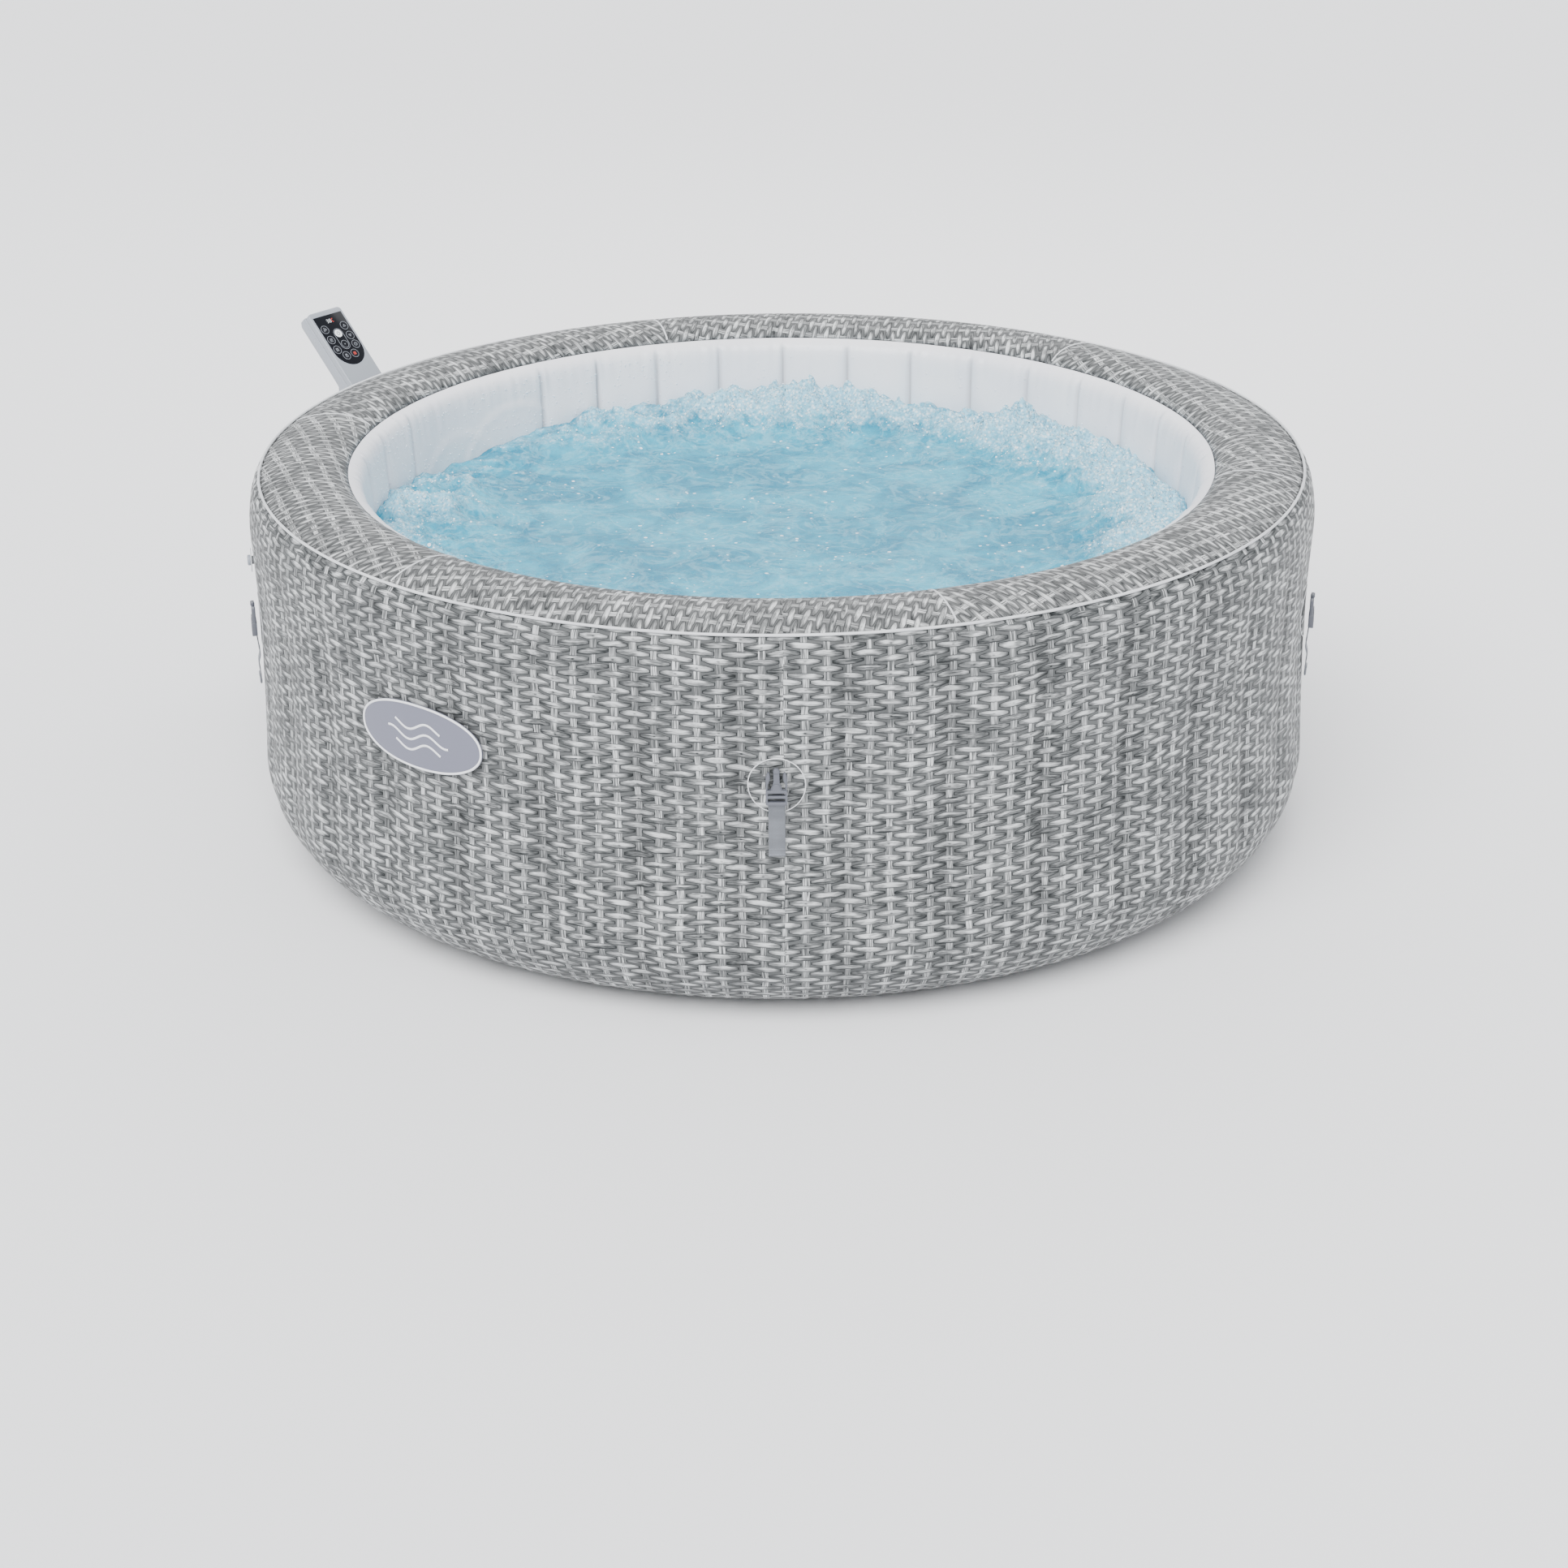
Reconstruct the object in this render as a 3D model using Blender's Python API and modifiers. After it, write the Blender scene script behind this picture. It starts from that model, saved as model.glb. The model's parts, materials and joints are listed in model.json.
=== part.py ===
"""Inflatable hot tub: welded skins held in shape by tension webs, with its water, filter and air
fittings, cover buckles, and the pump unit that stands behind it with a swivelling control head.

Units are metres and +Z is up. The tub stands on z = 0 with its axis on Z and its front facing -Y.
An azimuth is counted from the front towards +X, in degrees. A wall frame is an empty on the tub's
axis whose +Y points outwards at one azimuth, so y in it is the distance from the tub's axis.
"""

import math

import bmesh
import bpy
from mathutils import Matrix, Vector

# --- driving dimensions ---------------------------------------------------------------------------
GAP = 0.0003  # between pieces that touch on the real object
SKIN = 0.0012  # welded vinyl sheet
SKIN_STEPS = 48  # sides of each turned skin
SMALL_STEPS = 16  # sides of each turned fitting
WEB_COUNT = 36

TUB_HEIGHT = 0.660  # ground to the crest of the rim
TUB_RADIUS = 0.898  # widest part of the outer wall
WALL_DEPTH = 0.193  # outer wall at its widest to the inside face of the liner
FOOT_TUCK = 0.153  # how far inside the widest part the outer wall leaves the ground
SEAM_TUCK = 0.024  # the same for the piped weld between outer wall and top panel
RIM_LIP = 0.024  # weld between top panel and white liner, outside the liner's face
SEAM_DROP = 0.020  # piped weld below the crest
LINER_DROP = 0.0225  # liner weld below the crest
BULGE_HEIGHT = 0.150  # height of the rounded foot of the outer wall
SHOULDER_HEIGHT = 0.080  # height of the rounded shoulder under the piped weld
WALL_WAIST = 0.006  # how far the wall draws in between foot and shoulder
PIPING_RADIUS = 0.0030
FLOOR_LIFT = 0.0040  # underside of the floor sheet above the ground

WEB_PITCH = 10.0  # degrees between tension webs
WEB_PHASE = 9.3  # azimuth of the first web where it meets the liner
WEB_SLANT = -3.5  # its outer edge is this much further round
WEB_THICKNESS = 0.0012
WEB_BOTTOM = 0.120
WEB_STRIP = 0.020  # height of the strip that ties the webs along the liner
PANEL_WEBS = (22, 23)  # webs left out where the fittings go through the wall

CHANNEL_WIDTH = 0.030  # bubble ring along the foot of the liner
CHANNEL_HEIGHT = 0.040
CHANNEL_SET_IN = 0.020  # its outer side from the liner
DUCT_RADIUS = 0.010  # air duct inside the wall
DUCT_HEIGHT = 0.026  # where the duct meets the bubble ring
DUCT_CLEARANCE = 0.0015

BADGE_AZIMUTH = -38.1
BADGE_DROP = 0.244  # badge centre below the crest
BADGE_WIDTH = 0.250
BADGE_TALL = 0.107
BADGE_THICKNESS = 0.0022
BADGE_CLEARANCE = 0.0010

BUCKLE_AZIMUTHS = {"front": -0.7, "right": 79.0, "back": 180.0, "left": -79.0}
BUCKLE_DROP = 0.276  # lower edge below the crest
BUCKLE_TALL = 0.058
BUCKLE_WIDTH = 0.032
BUCKLE_THICKNESS = 0.009
BUCKLE_PIVOT_RISE = 0.0035  # ladder bar above the buckle's lower edge
STRAP_WIDTH = 0.025
STRAP_THICKNESS = 0.0015
STRAP_LENGTH = 0.082  # visible webbing tail
STRAP_GAP = 0.004  # below the buckle
WALL_CLEARANCE = 0.0010  # strap off the wall

VALVE_AZIMUTH = -80.4
VALVE_DROP = 0.154  # valve centre below the crest
VALVE_STEM_RADIUS = 0.0070
VALVE_FLANGE_RADIUS = 0.0200
VALVE_FLANGE_THICKNESS = 0.0015
VALVE_CAP_RADIUS = 0.0090
VALVE_CAP_LENGTH = 0.0055

DRAIN_WEB = 18.5  # the drain sits half way between two webs
DRAIN_HEIGHT = 0.062
DRAIN_RADIUS = 0.0130
DRAIN_FLANGE_RADIUS = 0.0220
DRAIN_CAP_RADIUS = 0.0190
DRAIN_CAP_LENGTH = 0.016

PUMP_AZIMUTH = 231.2
PUMP_GAP = 0.055  # outer wall to the pump housing
PUMP_SIDE_ROOM = 0.002  # inside the housing beside the water pump
PUMP_REAR_ROOM = 0.025  # inside the housing behind the heater
PUMP_CORNER = 0.080
PUMP_WALL = 0.003
FOOT_HEIGHT = 0.012
FOOT_RADIUS = 0.016
BASE_HEIGHT = 0.028
COVER_HEIGHT = 0.030
PUMP_HEAD_ROOM = 0.055  # blower motor to the top of the cover

FITTING_ROOM = 0.027  # between the filter cap and the dispenser
WATER_PORT_HEIGHT = 0.130
PORT_RADIUS = 0.0235  # threaded sleeve through the wall
PORT_BORE = 0.0155
PORT_FLANGE_RADIUS = 0.040
PORT_FLANGE_THICKNESS = 0.004
PORT_REACH = 0.024  # threaded end beyond the outer wall
PORT_CLEARANCE = 0.0005
GASKET_THICKNESS = 0.003
STUB_RADIUS = 0.0190
STUB_COLLAR_RADIUS = 0.0230
STUB_COLLAR = 0.004
NUT_RADIUS = 0.0360
NUT_LIP = 0.005
NUT_CLEARANCE = 0.0008
NUT_OVERLAP = 0.016  # nut over the threaded end

CARTRIDGE_RADIUS = 0.053
CARTRIDGE_BORE = 0.0255
CARTRIDGE_LENGTH = 0.080
CARTRIDGE_CLEARANCE = 0.0015
FITTING_WALL = 0.003
CAP_THICKNESS = 0.010
GRIP_LENGTH = 0.080
GRIP_WIDTH = 0.014
GRIP_HEIGHT = 0.012
DISPENSER_RADIUS = 0.0625
DISPENSER_WALL = 0.009
DISPENSER_LENGTH = 0.055
DIAL_THICKNESS = 0.012
DIAL_CLEARANCE = 0.001
DIAL_BORE = 0.011

VOLUTE_RADIUS = 0.050
VOLUTE_LENGTH = 0.050
VOLUTE_CORNER_ROOM = 0.007  # volute to the housing's rounded corner
IMPELLER_RADIUS = 0.040
IMPELLER_THICKNESS = 0.010
SHAFT_RADIUS = 0.0045
SHAFT_CLEARANCE = 0.0007
SHAFT_SEAT = 0.016  # depth of the shaft in its motor
MOTOR_RADIUS = 0.042
MOTOR_LENGTH = 0.080
HEATER_RADIUS = 0.030
HEATER_LENGTH = 0.165
HEATER_SET_BACK = 0.045
ELEMENT_RADIUS = 0.006
ELEMENT_TAIL = 0.012
PIPE_RADIUS = 0.012
PIPE_RISE = 0.055  # heater pipe above the volute
PIPE_ROOM = 0.028  # heater pipe to the blower

BLOWER_RADIUS = 0.062
BLOWER_HEIGHT = 0.050
BLOWER_SHIFT = 0.035  # fan axis sideways from the air port, so that the port is a tangent outlet
BLOWER_SET_BACK = 0.117
FAN_RADIUS = 0.044
FAN_INLET_RADIUS = 0.025
BLOWER_MOTOR_RADIUS = 0.030
BLOWER_MOTOR_HEIGHT = 0.055

SWIVEL_SET_BACK = 0.052  # swivel axis behind the housing's front
NECK_RADIUS = 0.042
NECK_HEIGHT = 0.015
NECK_CHAMFER = 0.003
ARM_LEAN = 42.7  # degrees from upright
ARM_WIDTH = 0.083
ARM_THICKNESS = 0.033
ARM_TOP_OUT = 0.097  # top edge of the face, beyond the swivel axis
ARM_ABOVE_RIM = 0.046  # and above the tub's crest
ARM_FACE_LENGTH = 0.168
ARM_SHELL_SPLIT = 0.012
ARM_FOOT = 0.060  # thickness of the arm where it stands on the neck
ARM_SHOULDER = 0.130  # length of the straight back of the arm
PANEL_WIDTH = 0.072
PANEL_LENGTH = 0.111
PANEL_THICKNESS = 0.002
PANEL_INSET = 0.011  # panel below the arm's top edge
BOARD_WIDTH = 0.058
BOARD_LENGTH = 0.090
BOARD_THICKNESS = 0.0016
RELAY_DEPTH = 0.0110  # tallest relay on the main circuit board
CAPACITOR_DEPTH = 0.0090
GRILLE_WIDTH = 0.100
GRILLE_TALL = 0.090
GRILLE_HEIGHT = 0.130
GRILLE_SLOTS = 6
BOARD_BOTTOM = 0.200  # main circuit board above the ground
GLAND_RADIUS = 0.009
GLAND_LENGTH = 0.014

# --- what follows from them -----------------------------------------------------------------------
BASE_RADIUS = TUB_RADIUS - FOOT_TUCK
SEAM_RADIUS = TUB_RADIUS - SEAM_TUCK
LINER_RADIUS = TUB_RADIUS - WALL_DEPTH
RIM_INNER_RADIUS = LINER_RADIUS + RIM_LIP
FLAT = math.cos(math.pi / SKIN_STEPS)  # radius of a side's middle over radius of its corner
SHOULDER_Z = TUB_HEIGHT - SEAM_DROP - SHOULDER_HEIGHT
WEB_TOP = SHOULDER_Z
BADGE_HEIGHT = TUB_HEIGHT - BADGE_DROP
BUCKLE_BOTTOM = TUB_HEIGHT - BUCKLE_DROP
STRAP_TOP = BUCKLE_BOTTOM - STRAP_GAP
STRAP_BOTTOM = STRAP_TOP - STRAP_LENGTH
VALVE_HEIGHT = TUB_HEIGHT - VALVE_DROP
FILTER_RADIUS = CARTRIDGE_RADIUS + CARTRIDGE_CLEARANCE + FITTING_WALL
FILTER_CAP_RADIUS = FILTER_RADIUS + FITTING_WALL
PORT_SPREAD = (FILTER_CAP_RADIUS + DISPENSER_RADIUS + FITTING_ROOM) / 2
PIPE_HEIGHT = WATER_PORT_HEIGHT + VOLUTE_RADIUS + PIPE_RISE
AIR_PORT_HEIGHT = PIPE_HEIGHT + PIPE_RADIUS + PIPE_ROOM + BLOWER_HEIGHT / 2
PUMP_WIDTH = 2 * (PORT_SPREAD + VOLUTE_RADIUS + PUMP_SIDE_ROOM + PUMP_WALL)
PUMP_HEIGHT = AIR_PORT_HEIGHT + BLOWER_HEIGHT / 2 + BLOWER_MOTOR_HEIGHT + PUMP_HEAD_ROOM
VOLUTE_OVERHANG = PORT_SPREAD + VOLUTE_RADIUS - PUMP_WIDTH / 2 + PUMP_CORNER
VOLUTE_SET_BACK = PUMP_CORNER + VOLUTE_CORNER_ROOM
VOLUTE_SET_BACK -= math.sqrt((PUMP_CORNER - PUMP_WALL) ** 2 - VOLUTE_OVERHANG**2)
MOTOR_OVERHANG = PORT_SPREAD + MOTOR_RADIUS - PUMP_WIDTH / 2 + PUMP_CORNER
MOTOR_CORNER = PUMP_CORNER - math.sqrt((PUMP_CORNER - PUMP_WALL) ** 2 - MOTOR_OVERHANG**2)
HEATER_STACK = HEATER_SET_BACK + HEATER_LENGTH + ELEMENT_TAIL + PUMP_REAR_ROOM + PUMP_WALL
MOTOR_STACK = VOLUTE_SET_BACK + VOLUTE_LENGTH + MOTOR_LENGTH + MOTOR_CORNER + PUMP_SIDE_ROOM
PUMP_DEPTH = max(HEATER_STACK, MOTOR_STACK)
ARM_TOP_RISE = TUB_HEIGHT + ARM_ABOVE_RIM - PUMP_HEIGHT
PORT_END = TUB_RADIUS + PORT_REACH
STUB_START = PORT_END + GASKET_THICKNESS + 2 * GAP
NUT_START = PORT_END - NUT_OVERLAP
NUT_END = STUB_START + STUB_COLLAR + GAP + NUT_LIP
PUMP_FRONT = TUB_RADIUS + PUMP_GAP
PUMP_MIDDLE = PUMP_FRONT + PUMP_DEPTH / 2
PUMP_REAR = PUMP_FRONT + PUMP_DEPTH
SWIVEL_Y = PUMP_FRONT + SWIVEL_SET_BACK
HOUSING_BOTTOM = FOOT_HEIGHT + BASE_HEIGHT + GAP
HOUSING_TOP = PUMP_HEIGHT - COVER_HEIGHT - GAP
OUT = (-math.pi / 2, 0.0, 0.0)  # turns a local +Z axis to point outwards along +Y
UPRIGHT = (math.pi / 2, 0.0, 0.0)  # stands a flat outline up, facing along the Y axis
SIDE_ON = (math.pi / 2, 0.0, math.pi / 2)  # stands a flat outline up, its x along Y

# --- scene ----------------------------------------------------------------------------------------
for old in list(bpy.data.objects):
    bpy.data.objects.remove(old, do_unlink=True)
parts = bpy.data.collections.new("inflatable_hot_tub")
cutters = bpy.data.collections.new("cutters")
for collection in (parts, cutters):
    bpy.context.scene.collection.children.link(collection)


# --- making and placing objects -------------------------------------------------------------------
def frame(name, azimuth=None, parent=None, location=(0, 0, 0), rotation=(0, 0, 0)):
    """An empty that pieces are placed in. With an azimuth its +Y points outwards there."""
    empty = bpy.data.objects.new("frame_" + name, None)
    parts.objects.link(empty)
    empty.parent = parent
    empty.location = location
    empty.rotation_euler = rotation
    if azimuth is not None:
        empty.rotation_euler = (0, 0, math.radians(azimuth - 180))
    return empty


def place(name, data, parent=None, location=(0, 0, 0), rotation=(0, 0, 0), cutter=False):
    """Adds an object for the data. A cutter only shapes other pieces."""
    obj = bpy.data.objects.new(name, data)
    (cutters if cutter else parts).objects.link(obj)
    obj.parent = parent
    obj.location = location
    obj.rotation_euler = rotation
    if cutter:
        obj.hide_render = True
        obj.display_type = "WIRE"
    return obj


def finish(obj, colour, roughness, metallic=0.0):
    """Gives the object a Principled material of its own."""
    material = bpy.data.materials.new(obj.name + "_finish")
    material.use_nodes = True
    shader = material.node_tree.nodes["Principled BSDF"]
    shader.inputs["Base Color"].default_value = (*colour, 1.0)
    shader.inputs["Roughness"].default_value = roughness
    shader.inputs["Metallic"].default_value = metallic
    obj.data.materials.append(material)
    return obj


def clockwise(points):
    """The outline ordered so that its outer side runs from top to bottom."""
    ahead = points[1:] + points[:1]
    area = sum(a[0] * b[1] - b[0] * a[1] for a, b in zip(points, ahead))
    return points[::-1] if area > 0 else points


def screw(obj, steps):
    """Turns the object's profile round its own Z axis."""
    turn = obj.modifiers.new("Turn", "SCREW")
    turn.steps = turn.render_steps = steps
    turn.use_merge_vertices = True
    turn.merge_threshold = 0.00005
    turn.use_smooth_shade = True


def turned(
    name,
    profile,
    parent=None,
    location=(0, 0, 0),
    rotation=(0, 0, 0),
    steps=SMALL_STEPS,
    cutter=False,
):
    """A solid turned from (radius, height) points, which close on themselves or on the axis."""
    points = clockwise(list(profile))
    on_axis = [i for i, p in enumerate(points) if p[0] == 0]
    if on_axis:
        first = next(i for i in on_axis if points[i - 1][0] == 0)
        points = points[first:] + points[:first]
    edges = [(i, i + 1) for i in range(len(points) - 1)]
    if not on_axis:
        edges.append((len(points) - 1, 0))
    mesh = bpy.data.meshes.new(name)
    mesh.from_pydata([(r, 0.0, z) for r, z in points], edges, [])
    obj = place(name, mesh, parent, location, rotation, cutter)
    screw(obj, steps)
    return obj


def skin(name, profile, thickness=SKIN):
    """A thin turned sheet. Its outer face follows the profile, and runs down where it faces out."""
    mesh = bpy.data.meshes.new(name)
    edges = [(i, i + 1) for i in range(len(profile) - 1)]
    mesh.from_pydata([(r, 0.0, z) for r, z in profile], edges, [])
    obj = place(name, mesh)
    screw(obj, SKIN_STEPS)
    sheet = obj.modifiers.new("Sheet", "SOLIDIFY")
    sheet.thickness = thickness
    sheet.offset = -1
    sheet.use_even_offset = True
    return obj


def curve_to_mesh(curve_obj):
    """The curve object made a mesh object with its caps joined on."""
    bpy.context.view_layer.update()
    evaluated = curve_obj.evaluated_get(bpy.context.evaluated_depsgraph_get())
    mesh = bpy.data.meshes.new_from_object(evaluated)
    edit = bmesh.new()
    edit.from_mesh(mesh)
    bmesh.ops.remove_doubles(edit, verts=edit.verts, dist=0.00001)
    bmesh.ops.recalc_face_normals(edit, faces=edit.faces)
    edit.to_mesh(mesh)
    edit.free()
    return mesh


def plate(name, outlines, thickness, parent=None, location=(0, 0, 0), rotation=(0, 0, 0), cutter=False):
    """A flat piece: the first outline, less the others, with its middle plane at the location."""
    curve = bpy.data.curves.new(name, "CURVE")
    curve.dimensions = "2D"
    curve.fill_mode = "BOTH"
    curve.extrude = thickness / 2
    for outline in outlines:
        spline = curve.splines.new("POLY")
        spline.points.add(len(outline) - 1)
        for point, (x, y) in zip(spline.points, outline):
            point.co = (x, y, 0, 1)
        spline.use_cyclic_u = True
    flat = place(name + "_outline", curve)
    mesh = curve_to_mesh(flat)
    bpy.data.objects.remove(flat)
    return place(name, mesh, parent, location, rotation, cutter)


def tube(name, points, radius, parent=None, location=(0, 0, 0)):
    """A round bar along a smooth line through the points."""
    curve = bpy.data.curves.new(name, "CURVE")
    curve.dimensions = "3D"
    curve.bevel_depth = radius
    curve.bevel_resolution = 1
    curve.use_fill_caps = True
    line = smooth_line([Vector(p) for p in points])
    spline = curve.splines.new("POLY")
    spline.points.add(len(line) - 1)
    for point, place_at in zip(spline.points, line):
        point.co = (*place_at, 1)
    return place(name, curve, parent, location)


def smooth_line(points, between=3):
    """Points along a smooth curve through the given ones."""
    line = []
    ends = [points[0] * 2 - points[1], *points, points[-1] * 2 - points[-2]]
    for a, b, c, d in zip(ends, ends[1:], ends[2:], ends[3:]):
        for i in range(between):
            t = i / between
            bend = 2 * a - 5 * b + 4 * c - d
            twist = 3 * b - a - 3 * c + d
            line.append(0.5 * (2 * b + (c - a) * t + bend * t**2 + twist * t**3))
    return [*line, points[-1]]


def bar(name, radius, start, end, parent, cutter=True, steps=SMALL_STEPS):
    """A straight round bar between two points of its frame."""
    along = Vector(end) - Vector(start)
    edit = bmesh.new()
    bmesh.ops.create_cone(
        edit, cap_ends=True, segments=steps, radius1=radius, radius2=radius, depth=along.length
    )
    mesh = bpy.data.meshes.new(name)
    edit.to_mesh(mesh)
    edit.free()
    middle = (Vector(start) + Vector(end)) / 2
    return place(name, mesh, parent, middle, along.to_track_quat("Z", "Y").to_euler(), cutter)


def block(name, size, middle, parent, rotation=(0, 0, 0), cutter=True):
    """A rectangular block."""
    edit = bmesh.new()
    bmesh.ops.create_cube(edit, size=1.0, matrix=Matrix.Diagonal((*size, 1.0)))
    mesh = bpy.data.meshes.new(name)
    edit.to_mesh(mesh)
    edit.free()
    return place(name, mesh, parent, middle, rotation, cutter)


def combine(obj, other, operation):
    """Cuts, joins or keeps the part in common with another object."""
    boolean = obj.modifiers.new(operation.title(), "BOOLEAN")
    boolean.operation = operation
    boolean.solver = "EXACT"
    boolean.object = other
    return obj


def bevelled(obj, width, segments=2):
    """Rounds the sharp edges."""
    edge = obj.modifiers.new("Edge", "BEVEL")
    edge.width = width
    edge.segments = segments
    edge.limit_method = "ANGLE"
    edge.angle_limit = math.radians(50)
    return obj


# --- outlines -------------------------------------------------------------------------------------
def arc(centre, radius, start, end, segments):
    """Points on a circle, angles in degrees."""
    angles = [math.radians(start + (end - start) * i / segments) for i in range(segments + 1)]
    return [(centre[0] + radius * math.cos(a), centre[1] + radius * math.sin(a)) for a in angles]


def rounded_rectangle(width, height, radius, centre=(0.0, 0.0), segments=4):
    points = []
    for quarter, (side, end) in enumerate([(1, 1), (-1, 1), (-1, -1), (1, -1)]):
        corner = (centre[0] + side * (width / 2 - radius), centre[1] + end * (height / 2 - radius))
        points += arc(corner, radius, 90 * quarter, 90 * quarter + 90, segments)
    return points


def ellipse(width, height, segments):
    turns = [2 * math.pi * i / segments for i in range(segments)]
    return [(width / 2 * math.cos(a), height / 2 * math.sin(a)) for a in turns]


def bladed(blades, hub, reach, width):
    """A hub with straight blades, seen along its axis."""
    points = []
    half = math.asin(width / 2 / hub)
    for i in range(blades):
        middle = 2 * math.pi * i / blades
        direction = Vector((math.cos(middle), math.sin(middle)))
        side = Vector((-direction.y, direction.x)) * width / 2
        for angle, sign in ((middle - half, -1), (middle + half, 1)):
            root = (hub * math.cos(angle), hub * math.sin(angle))
            tip = tuple(direction * reach + side * sign)
            points += [root, tip] if sign < 0 else [tip, root]
    return points


# --- the tub's section ----------------------------------------------------------------------------
def wall_radius(height):
    """Outside radius of the outer wall."""
    if height < BULGE_HEIGHT:
        turn = math.acos(1 - height / BULGE_HEIGHT)
        return BASE_RADIUS + (TUB_RADIUS - BASE_RADIUS) * math.sin(turn)
    if height < SHOULDER_Z:
        share = (height - BULGE_HEIGHT) / (SHOULDER_Z - BULGE_HEIGHT)
        return TUB_RADIUS - WALL_WAIST * math.sin(math.pi * share)
    turn = math.asin(min(1.0, (height - SHOULDER_Z) / SHOULDER_HEIGHT))
    return SEAM_RADIUS + (TUB_RADIUS - SEAM_RADIUS) * math.cos(turn)


def widest_between(low, high):
    """Largest outside radius of the outer wall between two heights."""
    return max(wall_radius(low + (high - low) * i / 12) for i in range(13))


def outer_wall_profile(shoulder=2, waist=3, bulge=4):
    points = []
    for i in range(shoulder, 0, -1):
        turn = math.pi / 2 * i / shoulder
        height = SHOULDER_Z + SHOULDER_HEIGHT * math.sin(turn)
        points.append((SEAM_RADIUS + GAP * 2 + (TUB_RADIUS - SEAM_RADIUS) * math.cos(turn), height))
    for i in range(waist, 0, -1):
        height = BULGE_HEIGHT + (SHOULDER_Z - BULGE_HEIGHT) * i / waist
        points.append((wall_radius(height), height))
    for i in range(bulge, -1, -1):
        height = BULGE_HEIGHT * (1 - math.cos(math.pi / 2 * i / bulge))
        points.append((wall_radius(height), height))
    points[-1] = (BASE_RADIUS + GAP * 4, 0.0)
    return points


def bezier(a, b, c, d, segments):
    points = []
    for i in range(segments + 1):
        t = i / segments
        weights = ((1 - t) ** 3, 3 * t * (1 - t) ** 2, 3 * t**2 * (1 - t), t**3)
        points.append(tuple(sum(w * p[k] for w, p in zip(weights, (a, b, c, d))) for k in (0, 1)))
    return points


def top_panel_profile():
    """From the liner weld over the crest out to the piped weld."""
    span = SEAM_RADIUS - RIM_INNER_RADIUS
    seam_z = TUB_HEIGHT - SEAM_DROP
    liner_z = TUB_HEIGHT - LINER_DROP
    crest = 4 / 3 * SEAM_DROP
    return bezier(
        (RIM_INNER_RADIUS, liner_z),
        (RIM_INNER_RADIUS + 0.21 * span, liner_z + 1.33 * crest),
        (SEAM_RADIUS - 0.23 * span, seam_z + 0.80 * crest),
        (SEAM_RADIUS - GAP * 2, seam_z),
        5,
    )


def liner_profile():
    """From the foot of the inner wall up to the liner weld; it faces the axis."""
    top = (RIM_INNER_RADIUS - 2 * GAP, TUB_HEIGHT - LINER_DROP - 3 * GAP - SKIN)
    bend = top[1] - (RIM_INNER_RADIUS - LINER_RADIUS) * 2
    foot = FLOOR_LIFT + SKIN + 2 * GAP
    return [(LINER_RADIUS, foot), (LINER_RADIUS, bend * 0.5)] + bezier(
        (LINER_RADIUS, bend), (LINER_RADIUS, bend + 0.025), (LINER_RADIUS + 0.010, top[1] - 0.012), top, 3
    )


def inner_seat(sideways, reach):
    """Distance from the axis at which a flat flange meets the inside of the liner."""
    return math.sqrt((LINER_RADIUS * FLAT) ** 2 - (abs(sideways) + reach) ** 2) - GAP


# --- tub skins ------------------------------------------------------------------------------------
WICKER = (0.42, 0.44, 0.45)
LINER_WHITE = (0.86, 0.87, 0.90)
base_sheet = turned(
    "base_sheet",
    [(0, SKIN), (BASE_RADIUS, SKIN), (BASE_RADIUS, 0), (0, 0)],
    steps=SKIN_STEPS,
)
finish(base_sheet, (0.30, 0.31, 0.32), 0.6)
floor_top = FLOOR_LIFT + SKIN
floor_sheet = turned(
    "floor_sheet",
    [(0, floor_top), (LINER_RADIUS, floor_top), (LINER_RADIUS, FLOOR_LIFT), (0, FLOOR_LIFT)],
    steps=SKIN_STEPS,
)
finish(floor_sheet, LINER_WHITE, 0.4)
outer_wall = finish(skin("outer_wall", outer_wall_profile()), WICKER, 0.55)
top_panel = finish(skin("top_panel", top_panel_profile()), WICKER, 0.55)
inner_wall = finish(skin("inner_wall", liner_profile()), LINER_WHITE, 0.38)

piping_centre = (
    SEAM_RADIUS + GAP + (PIPING_RADIUS + 2 * GAP) * math.cos(math.radians(60)),
    TUB_HEIGHT - SEAM_DROP + (PIPING_RADIUS + 2 * GAP) * math.sin(math.radians(60)),
)
rim_piping = turned("rim_piping", arc(piping_centre, PIPING_RADIUS, 0, 300, 5), steps=SKIN_STEPS)
finish(rim_piping, (0.80, 0.81, 0.82), 0.45)

channel_outer = (LINER_RADIUS - CHANNEL_SET_IN) * FLAT
air_channel = turned(
    "air_channel",
    [
        (channel_outer - CHANNEL_WIDTH, floor_top + GAP),
        (channel_outer, floor_top + GAP),
        (channel_outer, floor_top + GAP + CHANNEL_HEIGHT),
        (channel_outer - CHANNEL_WIDTH, floor_top + GAP + CHANNEL_HEIGHT / 2),
    ],
    steps=SKIN_STEPS,
)
finish(air_channel, LINER_WHITE, 0.4)

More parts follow.
